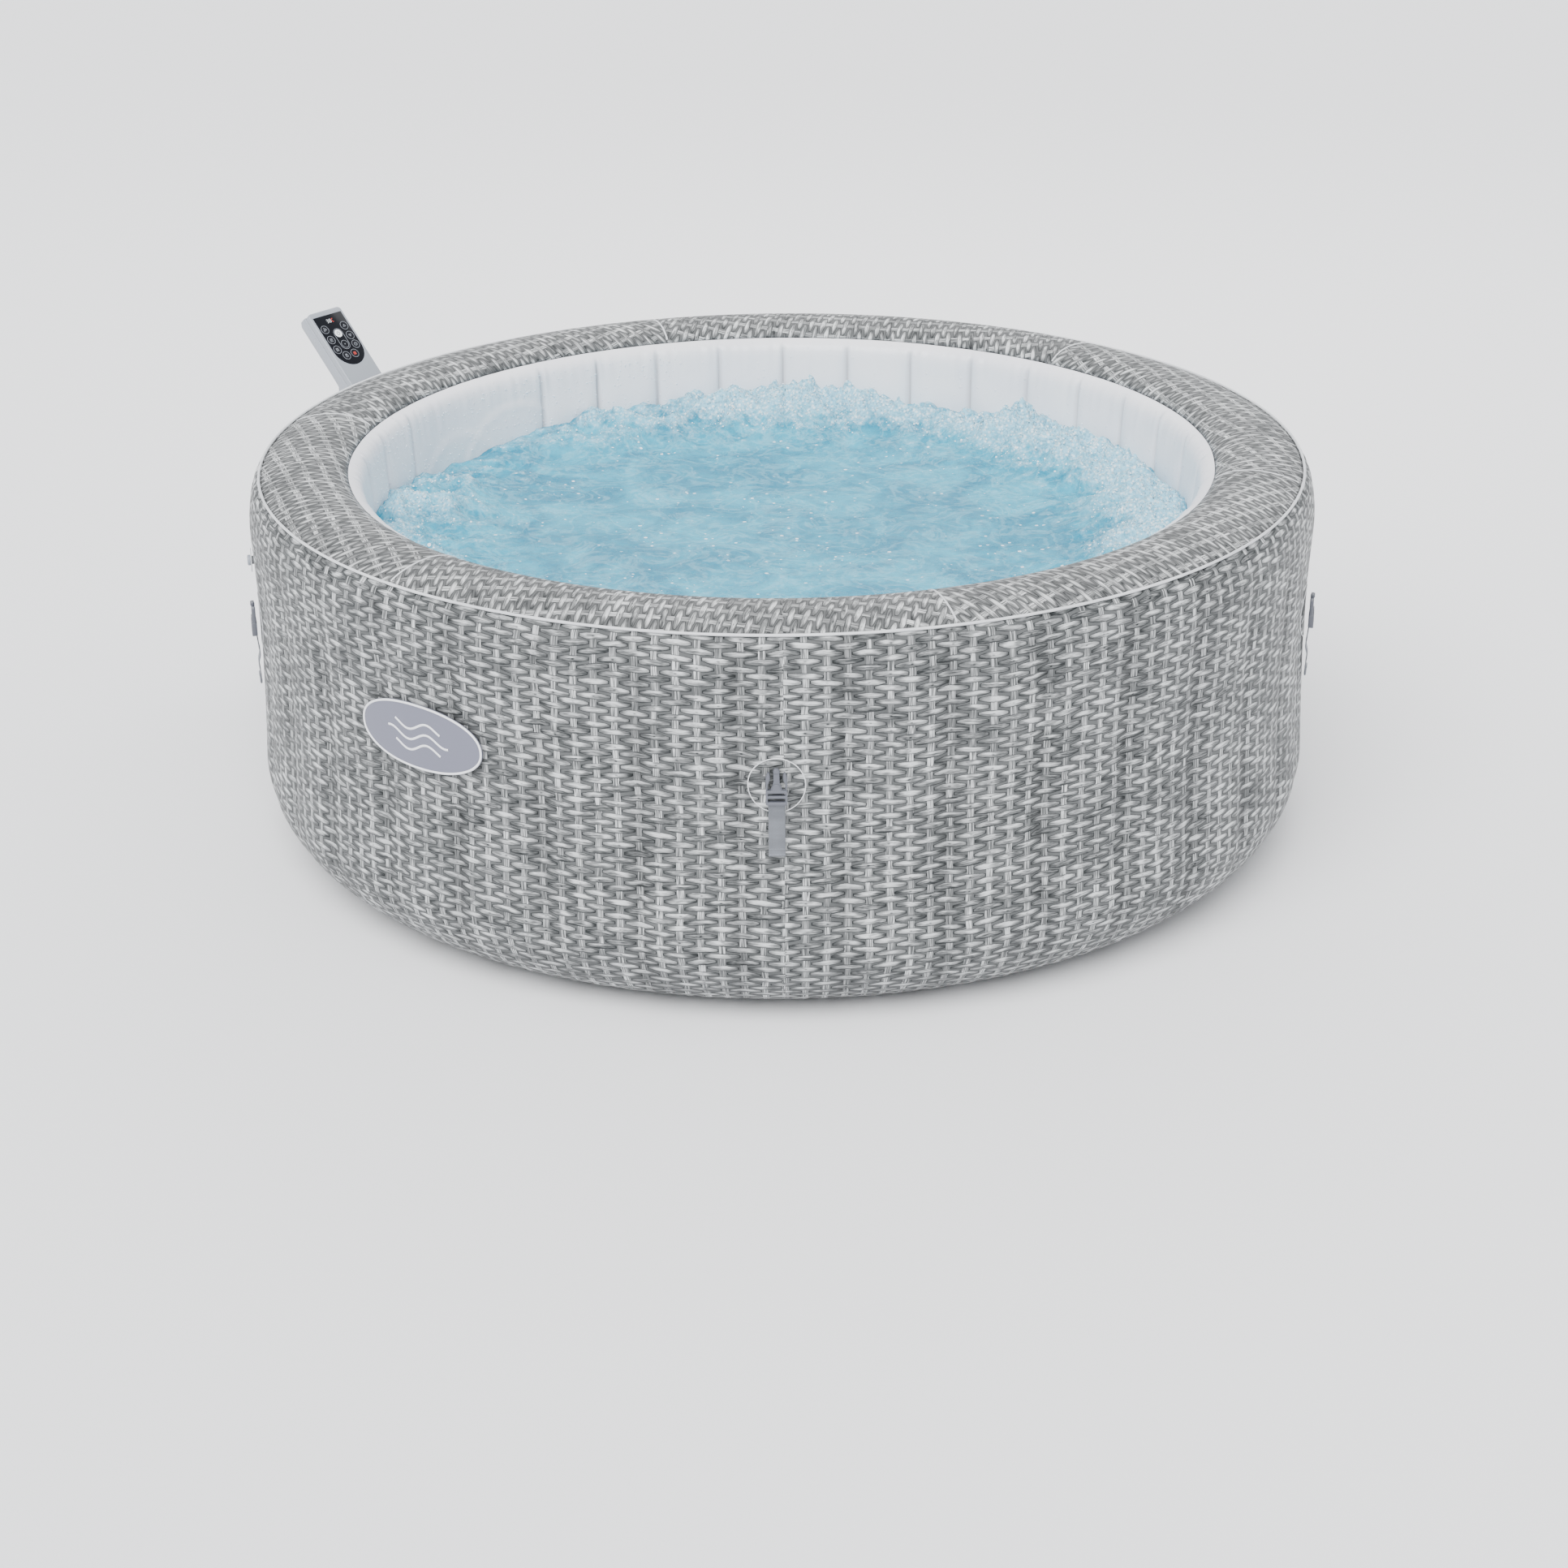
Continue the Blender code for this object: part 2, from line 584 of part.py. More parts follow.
# --- tension webs between the walls, tied by a strip along the liner ------------------------------
web_inner = LINER_RADIUS + SKIN + 2 * GAP
web_outer = min(wall_radius(WEB_BOTTOM + (WEB_TOP - WEB_BOTTOM) * i / 12) for i in range(13))
web_outer = (web_outer - SKIN) * FLAT - 2 * GAP
strip_outer = (web_inner + 2 * SKIN) / FLAT
tension_webs = turned(
    "tension_webs",
    [
        (web_inner, WEB_TOP - WEB_STRIP),
        (strip_outer, WEB_TOP - WEB_STRIP),
        (strip_outer, WEB_TOP),
        (web_inner, WEB_TOP),
    ],
    steps=SKIN_STEPS,
)
edit = bmesh.new()
for web in range(WEB_COUNT):
    if web in PANEL_WEBS:
        continue
    turn = Matrix.Rotation(math.radians(WEB_PHASE + WEB_PITCH * web), 4, "Z")
    start = Vector((0, -web_inner, 0))
    end = Matrix.Rotation(math.radians(WEB_SLANT), 4, "Z") @ Vector((0, -web_outer, 0))
    slant = (end - start).to_track_quat("Y", "Z").to_matrix().to_4x4()
    middle = Matrix.Translation((start + end) / 2 + Vector((0, 0, (WEB_BOTTOM + WEB_TOP) / 2)))
    size = Matrix.Diagonal((WEB_THICKNESS, (end - start).length, WEB_TOP - WEB_BOTTOM, 1))
    bmesh.ops.create_cube(edit, size=1.0, matrix=turn @ middle @ slant @ size)
web_mesh = bpy.data.meshes.new("web_sheets")
edit.to_mesh(web_mesh)
edit.free()
web_sheets = place("web_sheets", web_mesh, cutter=True)
combine(tension_webs, web_sheets, "UNION")
finish(tension_webs, (0.8, 0.8, 0.82), 0.5)

# --- badge: an oval plate that follows the wall ---------------------------------------------------
badge_frame = frame("badge", BADGE_AZIMUTH)
badge_seat = widest_between(BADGE_HEIGHT - BADGE_TALL / 2, BADGE_HEIGHT + BADGE_TALL / 2) + BADGE_CLEARANCE
badge_plate = turned(
    "badge_plate",
    [
        (badge_seat, BADGE_HEIGHT - BADGE_TALL),
        (badge_seat + BADGE_THICKNESS, BADGE_HEIGHT - BADGE_TALL),
        (badge_seat + BADGE_THICKNESS, BADGE_HEIGHT + BADGE_TALL),
        (badge_seat, BADGE_HEIGHT + BADGE_TALL),
    ],
    steps=SKIN_STEPS,
)
badge_oval = plate(
    "badge_oval",
    [ellipse(BADGE_WIDTH, BADGE_TALL, 20)],
    0.2,
    badge_frame,
    (0, TUB_RADIUS, BADGE_HEIGHT),
    UPRIGHT,
    cutter=True,
)
combine(badge_plate, badge_oval, "INTERSECT")
finish(badge_plate, (0.55, 0.57, 0.64), 0.35, 0.3)

# --- cover buckles and their webbing tails --------------------------------------------------------
strap_seat = widest_between(STRAP_BOTTOM, BUCKLE_BOTTOM + BUCKLE_TALL) + WALL_CLEARANCE
buckle_seat = strap_seat + STRAP_THICKNESS + 2 * GAP
buckle_middle = buckle_seat + BUCKLE_THICKNESS / 2
pivot_height = BUCKLE_BOTTOM + BUCKLE_PIVOT_RISE


def buckle_outline():
    """Male half of a side-release buckle: ladder frame below, two prongs and a guide tongue above."""
    half = BUCKLE_WIDTH / 2
    low = -BUCKLE_PIVOT_RISE
    frame_top = low + 0.36 * BUCKLE_TALL
    top = low + BUCKLE_TALL
    prong = 0.19 * BUCKLE_WIDTH
    tongue = 0.16 * BUCKLE_WIDTH
    right = [
        (half, low),
        (half, frame_top),
        (half - 0.1 * prong, top - 0.30 * BUCKLE_TALL),
        (half, top - 0.12 * BUCKLE_TALL),
        (half - prong, top),
        (half - 1.2 * prong, frame_top + 0.1 * prong),
        (tongue, frame_top + 0.1 * prong),
        (tongue * 0.7, top),
    ]
    return right + [(-x, z) for x, z in reversed(right)]


def slot_outline(low, high):
    half = STRAP_WIDTH / 2
    return [(-half, low), (half, low), (half, high), (-half, high)]


ladder = (0.0015, 0.0075, 0.0115, 0.0155)  # lower and upper slot edges above the pivot
for place_name, azimuth in BUCKLE_AZIMUTHS.items():
    wall = frame("wall_" + place_name, azimuth)
    pivot = frame("pivot_" + place_name, parent=wall, location=(0, buckle_middle, pivot_height))
    outlines = [buckle_outline(), slot_outline(*ladder[:2]), slot_outline(*ladder[2:])]
    buckle = plate("buckle_" + place_name, outlines, BUCKLE_THICKNESS, pivot, rotation=UPRIGHT)
    finish(buckle, (0.40, 0.43, 0.49), 0.45)
    tail = plate(
        "strap_" + place_name,
        [rounded_rectangle(STRAP_WIDTH, STRAP_LENGTH, 0.001, segments=1)],
        STRAP_THICKNESS,
        wall,
        (0, strap_seat + STRAP_THICKNESS / 2, (STRAP_TOP + STRAP_BOTTOM) / 2),
        UPRIGHT,
    )
    finish(tail, (0.45, 0.47, 0.51), 0.8)

# --- inflation valve ------------------------------------------------------------------------------
valve_frame = frame("valve", VALVE_AZIMUTH)
valve_seat = widest_between(VALVE_HEIGHT - VALVE_FLANGE_RADIUS, VALVE_HEIGHT + VALVE_FLANGE_RADIUS) + GAP
valve_inner = (wall_radius(VALVE_HEIGHT) - SKIN) * FLAT - 0.020
inflation_valve = turned(
    "inflation_valve",
    [
        (VALVE_STEM_RADIUS - 0.002, valve_inner),
        (VALVE_STEM_RADIUS, valve_inner),
        (VALVE_STEM_RADIUS, valve_seat),
        (VALVE_FLANGE_RADIUS, valve_seat),
        (VALVE_FLANGE_RADIUS, valve_seat + VALVE_FLANGE_THICKNESS),
        (VALVE_STEM_RADIUS - 0.002, valve_seat + VALVE_FLANGE_THICKNESS),
    ],
    valve_frame,
    (0, 0, VALVE_HEIGHT),
    OUT,
)
finish(inflation_valve, (0.55, 0.56, 0.58), 0.5)
cap_start = valve_seat + VALVE_FLANGE_THICKNESS + GAP
inflation_cap = turned(
    "inflation_cap",
    [
        (0, cap_start),
        (VALVE_CAP_RADIUS, cap_start),
        (VALVE_CAP_RADIUS, cap_start + VALVE_CAP_LENGTH * 0.8),
        (VALVE_CAP_RADIUS * 0.8, cap_start + VALVE_CAP_LENGTH),
        (0, cap_start + VALVE_CAP_LENGTH),
    ],
    valve_frame,
    (0, 0, VALVE_HEIGHT),
    OUT,
)
finish(inflation_cap, (0.35, 0.36, 0.39), 0.5)

# --- drain through both walls ---------------------------------------------------------------------
drain_frame = frame("drain", WEB_PHASE + WEB_PITCH * DRAIN_WEB)
drain_seat = inner_seat(0, DRAIN_FLANGE_RADIUS)
drain_end = wall_radius(DRAIN_HEIGHT + DRAIN_CAP_RADIUS) + 0.006
drain_valve = turned(
    "drain_valve",
    [
        (DRAIN_RADIUS - 0.003, drain_seat - 0.003),
        (DRAIN_FLANGE_RADIUS, drain_seat - 0.003),
        (DRAIN_FLANGE_RADIUS, drain_seat),
        (DRAIN_RADIUS, drain_seat),
        (DRAIN_RADIUS, drain_end),
        (DRAIN_RADIUS - 0.003, drain_end),
    ],
    drain_frame,
    (0, 0, DRAIN_HEIGHT),
    OUT,
)
finish(drain_valve, (0.55, 0.56, 0.58), 0.5)
drain_cap = turned(
    "drain_cap",
    [
        (0, drain_end + GAP),
        (DRAIN_CAP_RADIUS, drain_end + GAP),
        (DRAIN_CAP_RADIUS, drain_end + DRAIN_CAP_LENGTH),
        (0, drain_end + DRAIN_CAP_LENGTH),
    ],
    drain_frame,
    (0, 0, DRAIN_HEIGHT),
    OUT,
)
finish(drain_cap, (0.35, 0.36, 0.39), 0.5)

# --- ports through the wall, with gaskets, union nuts and the pump's stubs ------------------------
pump_frame = frame("pump", PUMP_AZIMUTH)
PORTS = {
    "suction": (PORT_SPREAD, WATER_PORT_HEIGHT),
    "return": (-PORT_SPREAD, WATER_PORT_HEIGHT),
    "air": (0.0, AIR_PORT_HEIGHT),
}
FITTING_REACH = {"suction": FILTER_RADIUS, "return": DISPENSER_RADIUS}
STUB_ENDS = {
    "suction": PUMP_FRONT + VOLUTE_SET_BACK - GAP,
    "return": PUMP_FRONT + HEATER_SET_BACK - GAP,
    "air": PUMP_FRONT + BLOWER_SET_BACK - BLOWER_RADIUS + 0.012,
}


def port_sleeve(name, sideways, height):
    """Threaded sleeve with its flange inside the tub, or inside the wall for the air port."""
    if name == "air":
        seat = (wall_radius(height) - SKIN) * FLAT - 0.004
    else:
        seat = inner_seat(sideways, PORT_FLANGE_RADIUS)
    face = seat - PORT_FLANGE_THICKNESS
    if name in FITTING_REACH:
        face = min(face, inner_seat(sideways, FITTING_REACH[name]) + GAP)
    profile = [
        (PORT_BORE, face),
        (PORT_FLANGE_RADIUS, face),
        (PORT_FLANGE_RADIUS, seat),
        (PORT_RADIUS, seat),
        (PORT_RADIUS, PORT_END),
        (PORT_BORE, PORT_END),
    ]
    turned(name + "_sleeve", profile, pump_frame, (sideways, 0, height), OUT)
    finish(bpy.data.objects[name + "_sleeve"], (0.50, 0.51, 0.53), 0.5)
    return face


flange_faces = {}
for name, (sideways, height) in PORTS.items():
    flange_faces[name] = port_sleeve(name, sideways, height)
    gasket_start = PORT_END + GAP
    gasket = turned(
        name + "_gasket",
        [
            (PORT_BORE, gasket_start),
            (STUB_COLLAR_RADIUS, gasket_start),
            (STUB_COLLAR_RADIUS, gasket_start + GASKET_THICKNESS),
            (PORT_BORE, gasket_start + GASKET_THICKNESS),
        ],
        pump_frame,
        (sideways, 0, height),
        OUT,
    )
    finish(gasket, (0.05, 0.05, 0.05), 0.8)
    stub = turned(
        name + "_stub",
        [
            (PORT_BORE, STUB_START),
            (STUB_COLLAR_RADIUS, STUB_START),
            (STUB_COLLAR_RADIUS, STUB_START + STUB_COLLAR),
            (STUB_RADIUS, STUB_START + STUB_COLLAR),
            (STUB_RADIUS, STUB_ENDS[name]),
            (PORT_BORE, STUB_ENDS[name]),
        ],
        pump_frame,
        (sideways, 0, height),
        OUT,
    )
    finish(stub, (0.25, 0.26, 0.28), 0.5)
    nut = turned(
        name + "_nut",
        [
            (PORT_RADIUS + NUT_CLEARANCE, NUT_START),
            (NUT_RADIUS, NUT_START),
            (NUT_RADIUS, NUT_END),
            (STUB_RADIUS + NUT_CLEARANCE, NUT_END),
            (STUB_RADIUS + NUT_CLEARANCE, NUT_END - NUT_LIP),
            (PORT_RADIUS + NUT_CLEARANCE, NUT_END - NUT_LIP),
        ],
        pump_frame,
        (sideways, 0, height),
        OUT,
    )
    finish(nut, (0.16, 0.17, 0.19), 0.5)

# --- filter in the tub on the suction port --------------------------------------------------------
filter_base = flange_faces["suction"] - GAP
filter_mouth = filter_base - FITTING_WALL - CARTRIDGE_LENGTH - 3 * GAP
suction_at = (PORT_SPREAD, 0, WATER_PORT_HEIGHT)
filter_housing = turned(
    "filter_housing",
    [
        (PORT_BORE, filter_base),
        (FILTER_RADIUS, filter_base),
        (FILTER_RADIUS, filter_mouth),
        (FILTER_RADIUS - FITTING_WALL, filter_mouth),
        (FILTER_RADIUS - FITTING_WALL, filter_base - FITTING_WALL),
        (PORT_BORE, filter_base - FITTING_WALL),
    ],
    pump_frame,
    suction_at,
    OUT,
)
finish(filter_housing, (0.70, 0.71, 0.73), 0.5)
cartridge_end = filter_base - FITTING_WALL - GAP
filter_cartridge = turned(
    "filter_cartridge",
    [
        (CARTRIDGE_BORE, cartridge_end),
        (CARTRIDGE_RADIUS, cartridge_end),
        (CARTRIDGE_RADIUS, cartridge_end - CARTRIDGE_LENGTH),
        (CARTRIDGE_BORE, cartridge_end - CARTRIDGE_LENGTH),
    ],
    pump_frame,
    suction_at,
    OUT,
)
finish(filter_cartridge, (0.80, 0.84, 0.92), 0.7)
cap_front = filter_mouth - GAP - CAP_THICKNESS
filter_cap = turned(
    "filter_cap",
    [
        (0, filter_mouth - GAP),
        (FILTER_CAP_RADIUS, filter_mouth - GAP),
        (FILTER_CAP_RADIUS, cap_front + 0.003),
        (FILTER_RADIUS, cap_front),
        (0, cap_front),
    ],
    pump_frame,
    suction_at,
    OUT,
)
filter_grip = block(
    "filter_grip",
    (GRIP_LENGTH, GRIP_HEIGHT, GRIP_WIDTH),
    (PORT_SPREAD, cap_front - GRIP_HEIGHT / 2 + 0.003, WATER_PORT_HEIGHT),
    pump_frame,
)
combine(filter_cap, filter_grip, "UNION")
finish(filter_cap, (0.62, 0.63, 0.65), 0.5)

# --- chemical dispenser in the tub on the return port ---------------------------------------------
return_at = (-PORT_SPREAD, 0, WATER_PORT_HEIGHT)
dispenser_base = flange_faces["return"] - GAP
dispenser_mouth = dispenser_base - DISPENSER_LENGTH
dispenser_inner = DISPENSER_RADIUS - DISPENSER_WALL
dispenser_body = turned(
    "dispenser_body",
    [
        (PORT_BORE, dispenser_base),
        (DISPENSER_RADIUS, dispenser_base),
        (DISPENSER_RADIUS, dispenser_mouth + 0.004),
        (DISPENSER_RADIUS - 0.004, dispenser_mouth),
        (dispenser_inner, dispenser_mouth),
        (dispenser_inner, dispenser_base - FITTING_WALL),
        (PORT_BORE, dispenser_base - FITTING_WALL),
    ],
    pump_frame,
    return_at,
    OUT,
    steps=24,
)
finish(dispenser_body, (0.60, 0.61, 0.62), 0.45)
dial_front = dispenser_mouth + 0.004
dispenser_dial = turned(
    "dispenser_dial",
    [
        (DIAL_BORE, dial_front + DIAL_THICKNESS),
        (dispenser_inner - DIAL_CLEARANCE, dial_front + DIAL_THICKNESS),
        (dispenser_inner - DIAL_CLEARANCE, dial_front),
        (DIAL_BORE, dial_front),
    ],
    pump_frame,
    return_at,
    OUT,
    steps=24,
)
dial_grip_reach = dispenser_inner - DIAL_CLEARANCE - 0.006
for side in (-1, 1):
    middle = side * (DIAL_BORE + dial_grip_reach) / 2
    grip = block(
        "dial_grip" + ("_low" if side < 0 else "_high"),
        (dial_grip_reach - DIAL_BORE - 0.004, GRIP_HEIGHT, GRIP_WIDTH),
        (-PORT_SPREAD + middle, dial_front - GRIP_HEIGHT / 2 + 0.004, WATER_PORT_HEIGHT),
        pump_frame,
    )
    combine(dispenser_dial, grip, "UNION")
finish(dispenser_dial, (0.09, 0.10, 0.11), 0.35)

# --- air duct inside the wall, from the air port down to the bubble ring --------------------------
duct_top = flange_faces["air"] - GAP
duct_mid = (LINER_RADIUS + wall_radius(BULGE_HEIGHT)) / 2
duct_route = [
    (0, duct_top, AIR_PORT_HEIGHT),
    (0, duct_top - 0.012, AIR_PORT_HEIGHT),
    (0, duct_mid + 0.012, AIR_PORT_HEIGHT - 0.020),
    (0, duct_mid, AIR_PORT_HEIGHT - 0.070),
    (0, duct_mid, (AIR_PORT_HEIGHT + DUCT_HEIGHT) / 2),
    (0, duct_mid, DUCT_HEIGHT + 0.070),
    (0, duct_mid - 0.014, DUCT_HEIGHT + 0.016),
    (0, LINER_RADIUS + 0.025, DUCT_HEIGHT),
    (0, (LINER_RADIUS + channel_outer) / 2, DUCT_HEIGHT),
    (0, channel_outer + 2 * GAP, DUCT_HEIGHT),
]
air_duct = tube("air_duct", duct_route, DUCT_RADIUS, pump_frame)
finish(air_duct, (0.75, 0.76, 0.78), 0.5)

# --- holes in the skins ---------------------------------------------------------------------------
for name, (sideways, height) in PORTS.items():
    start = TUB_RADIUS - 0.060 if name == "air" else LINER_RADIUS - 0.060
    hole = bar(
        name + "_wall_hole",
        PORT_RADIUS + PORT_CLEARANCE,
        (sideways, start, height),
        (sideways, TUB_RADIUS + 0.010, height),
        pump_frame,
    )
    combine(outer_wall, hole, "DIFFERENCE")
    if name != "air":
        combine(inner_wall, hole, "DIFFERENCE")
duct_hole = bar(
    "duct_hole",
    DUCT_RADIUS + DUCT_CLEARANCE,
    (0, LINER_RADIUS - 0.010, DUCT_HEIGHT),
    (0, LINER_RADIUS + 0.010, DUCT_HEIGHT),
    pump_frame,
)
combine(inner_wall, duct_hole, "DIFFERENCE")
drain_hole = bar(
    "drain_hole",
    DRAIN_RADIUS + PORT_CLEARANCE,
    (0, LINER_RADIUS - 0.030, DRAIN_HEIGHT),
    (0, TUB_RADIUS + 0.010, DRAIN_HEIGHT),
    drain_frame,
)
combine(inner_wall, drain_hole, "DIFFERENCE")
combine(outer_wall, drain_hole, "DIFFERENCE")
valve_hole = bar(
    "valve_hole",
    VALVE_STEM_RADIUS + PORT_CLEARANCE,
    (0, TUB_RADIUS - 0.030, VALVE_HEIGHT),
    (0, TUB_RADIUS + 0.010, VALVE_HEIGHT),
    valve_frame,
)
combine(outer_wall, valve_hole, "DIFFERENCE")

# --- pump housing ---------------------------------------------------------------------------------
HOUSING = (0.50, 0.53, 0.56)
base_outline = rounded_rectangle(PUMP_WIDTH, PUMP_DEPTH, PUMP_CORNER)
pump_base = plate(
    "pump_base",
    [base_outline],
    BASE_HEIGHT,
    pump_frame,
    (0, PUMP_MIDDLE, FOOT_HEIGHT + BASE_HEIGHT / 2),
)
tray = plate(
    "tray_pocket",
    [rounded_rectangle(PUMP_WIDTH - 2 * PUMP_WALL, PUMP_DEPTH - 2 * PUMP_WALL, PUMP_CORNER - PUMP_WALL)],
    BASE_HEIGHT,
    pump_frame,
    (0, PUMP_MIDDLE, FOOT_HEIGHT + BASE_HEIGHT / 2 + PUMP_WALL),
    cutter=True,
)
combine(pump_base, tray, "DIFFERENCE")
for index, (side, end) in enumerate([(1, 1), (-1, 1), (-1, -1), (1, -1)]):
    x = side * (PUMP_WIDTH / 2 - PUMP_CORNER * 0.7)
    y = PUMP_MIDDLE + end * (PUMP_DEPTH / 2 - PUMP_CORNER * 0.7)
    top = (x, y, FOOT_HEIGHT + PUMP_WALL / 2)
    foot = bar(f"pump_foot_{index}", FOOT_RADIUS, (x, y, 0), top, pump_frame, steps=12)
    combine(pump_base, foot, "UNION")
finish(pump_base, (0.12, 0.13, 0.14), 0.6)


def shell_section(side):
    """U-shaped section of one housing shell: side -1 faces the tub, +1 faces away."""

    def half_path(inset):
        width = PUMP_WIDTH / 2 - inset
        depth = PUMP_DEPTH / 2 - inset
        radius = PUMP_CORNER - inset
        right = arc((width - radius, depth - radius), radius, 0, 90, 5)
        left = arc((radius - width, depth - radius), radius, 90, 180, 5)
        return [(width, GAP / 2), *right, *left, (-width, GAP / 2)]

    section = half_path(0) + half_path(PUMP_WALL)[::-1]
    return [(x, y * side) for x, y in section]


def housing_shell(name, side):
    shell = plate(
        name,
        [shell_section(side)],
        HOUSING_TOP - HOUSING_BOTTOM,
        pump_frame,
        (0, PUMP_MIDDLE, (HOUSING_TOP + HOUSING_BOTTOM) / 2),
    )
    return finish(shell, HOUSING, 0.4)


housing_front = housing_shell("housing_front", -1)
for name, (sideways, height) in PORTS.items():
    hole = bar(
        name + "_housing_hole",
        STUB_RADIUS + PORT_CLEARANCE,
        (sideways, PUMP_FRONT - 0.010, height),
        (sideways, PUMP_FRONT + PUMP_CORNER / 2, height),
        pump_frame,
    )
    combine(housing_front, hole, "DIFFERENCE")

housing_rear = housing_shell("housing_rear", 1)
grille_hole = block(
    "grille_hole",
    (GRILLE_WIDTH, 0.020, GRILLE_TALL),
    (0, PUMP_REAR, GRILLE_HEIGHT),
    pump_frame,
)
combine(housing_rear, grille_hole, "DIFFERENCE")
gland_at = Vector((PUMP_WIDTH / 2 - PUMP_CORNER - 0.005, PUMP_REAR, HOUSING_BOTTOM + 0.025))
gland_hole = bar(
    "gland_hole",
    GLAND_RADIUS * 0.6 + GAP,
    gland_at - Vector((0, 0.010, 0)),
    gland_at + Vector((0, 0.010, 0)),
    pump_frame,
)
combine(housing_rear, gland_hole, "DIFFERENCE")
cord_gland = turned(
    "cord_gland",
    [
        (0, -PUMP_WALL - 0.004),
        (GLAND_RADIUS * 0.6, -PUMP_WALL - 0.004),
        (GLAND_RADIUS * 0.6, GAP),
        (GLAND_RADIUS, GAP),
        (GLAND_RADIUS * 0.55, GLAND_LENGTH),
        (0, GLAND_LENGTH),
    ],
    pump_frame,
    gland_at,
    OUT,
    steps=16,
)
finish(cord_gland, (0.06, 0.06, 0.06), 0.7)

slot_pitch = (GRILLE_TALL - 0.012) / GRILLE_SLOTS
slots = []
for index in range(GRILLE_SLOTS):
    middle = -GRILLE_TALL / 2 + 0.006 + slot_pitch * (index + 0.5)
    slots.append(rounded_rectangle(GRILLE_WIDTH - 0.020, slot_pitch * 0.5, 0.002, (0, middle), 1))
intake_grille = plate(
    "intake_grille",
    [rounded_rectangle(GRILLE_WIDTH - 2 * GAP, GRILLE_TALL - 2 * GAP, 0.001, segments=1), *slots],
    PUMP_WALL,
    pump_frame,
    (0, PUMP_REAR - PUMP_WALL / 2, GRILLE_HEIGHT),
    UPRIGHT,
)
finish(intake_grille, (0.10, 0.11, 0.12), 0.55)

top_cover = plate(
    "top_cover",
    [base_outline],
    COVER_HEIGHT,
    pump_frame,
    (0, PUMP_MIDDLE, PUMP_HEIGHT - COVER_HEIGHT / 2),
)
bevelled(top_cover, 0.006)
cover_pocket = plate(
    "cover_pocket",
    [rounded_rectangle(PUMP_WIDTH - 0.024, PUMP_DEPTH - 0.024, PUMP_CORNER - 0.012)],
    COVER_HEIGHT,
    pump_frame,
    (0, PUMP_MIDDLE, PUMP_HEIGHT - COVER_HEIGHT / 2 - 0.004),
    cutter=True,
)
combine(top_cover, cover_pocket, "DIFFERENCE")
finish(top_cover, HOUSING, 0.4)

# --- water pump, heater and the pipe between them -------------------------------------------------
volute_front = PUMP_FRONT + VOLUTE_SET_BACK
volute_back = volute_front + VOLUTE_LENGTH
shaft_hole = SHAFT_RADIUS + SHAFT_CLEARANCE
pump_volute = turned(
    "pump_volute",
    [
        (STUB_RADIUS, volute_front),
        (VOLUTE_RADIUS, volute_front),
        (VOLUTE_RADIUS, volute_back),
        (shaft_hole, volute_back),
        (shaft_hole, volute_back - FITTING_WALL),
        (VOLUTE_RADIUS - FITTING_WALL, volute_back - FITTING_WALL),
        (VOLUTE_RADIUS - FITTING_WALL, volute_front + FITTING_WALL),
        (STUB_RADIUS, volute_front + FITTING_WALL),
    ],
    pump_frame,
    suction_at,
    OUT,
)
volute_middle = (volute_front + volute_back) / 2
volute_outlet = bar(
    "volute_outlet",
    PIPE_RADIUS + PORT_CLEARANCE,
    (PORT_SPREAD, volute_middle, WATER_PORT_HEIGHT + VOLUTE_RADIUS / 2),
    (PORT_SPREAD, volute_middle, WATER_PORT_HEIGHT + VOLUTE_RADIUS * 1.3),
    pump_frame,
    steps=12,
)
combine(pump_volute, volute_outlet, "DIFFERENCE")
finish(pump_volute, (0.08, 0.08, 0.09), 0.5)


def rotor(name, radius, thickness, start, shaft_end, parent, location, rotation):
    """Backplate, shaft and straight vanes of an impeller or fan, turned about its own Z axis."""
    body = turned(
        name,
        [
            (0, start),
            (radius * 0.3, start),
            (radius * 0.3, start + thickness * 0.7),
            (radius, start + thickness * 0.7),
            (radius, start + thickness),
            (SHAFT_RADIUS, start + thickness),
            (SHAFT_RADIUS, shaft_end),
            (0, shaft_end),
        ],
        parent,
        location,
        rotation,
    )
    vanes = plate(
        name + "_vanes",
        [bladed(7, radius * 0.25, radius * 0.96, radius * 0.08)],
        thickness * 0.8,
        body,
        (0, 0, start + thickness * 0.45),
        cutter=True,
    )
    return combine(body, vanes, "UNION")


impeller = rotor(
    "impeller",
    IMPELLER_RADIUS,
    IMPELLER_THICKNESS,
    volute_middle - IMPELLER_THICKNESS * 0.2,
    volute_back + GAP + SHAFT_SEAT,
    pump_frame,
    suction_at,
    OUT,
)
finish(impeller, (0.75, 0.75, 0.72), 0.5)


def motor(name, radius, length, start, parent, location, rotation):
    """A motor can with the seat that its rotor's shaft runs in."""
    return turned(
        name,
        [
            (shaft_hole, start),
            (radius, start),
            (radius, start + length),
            (0, start + length),
            (0, start + SHAFT_SEAT + 0.002),
            (shaft_hole, start + SHAFT_SEAT + 0.002),
        ],
        parent,
        location,
        rotation,
    )


pump_motor = motor(
    "pump_motor", MOTOR_RADIUS, MOTOR_LENGTH, volute_back + GAP, pump_frame, suction_at, OUT
)
finish(pump_motor, (0.35, 0.36, 0.38), 0.4, 0.8)

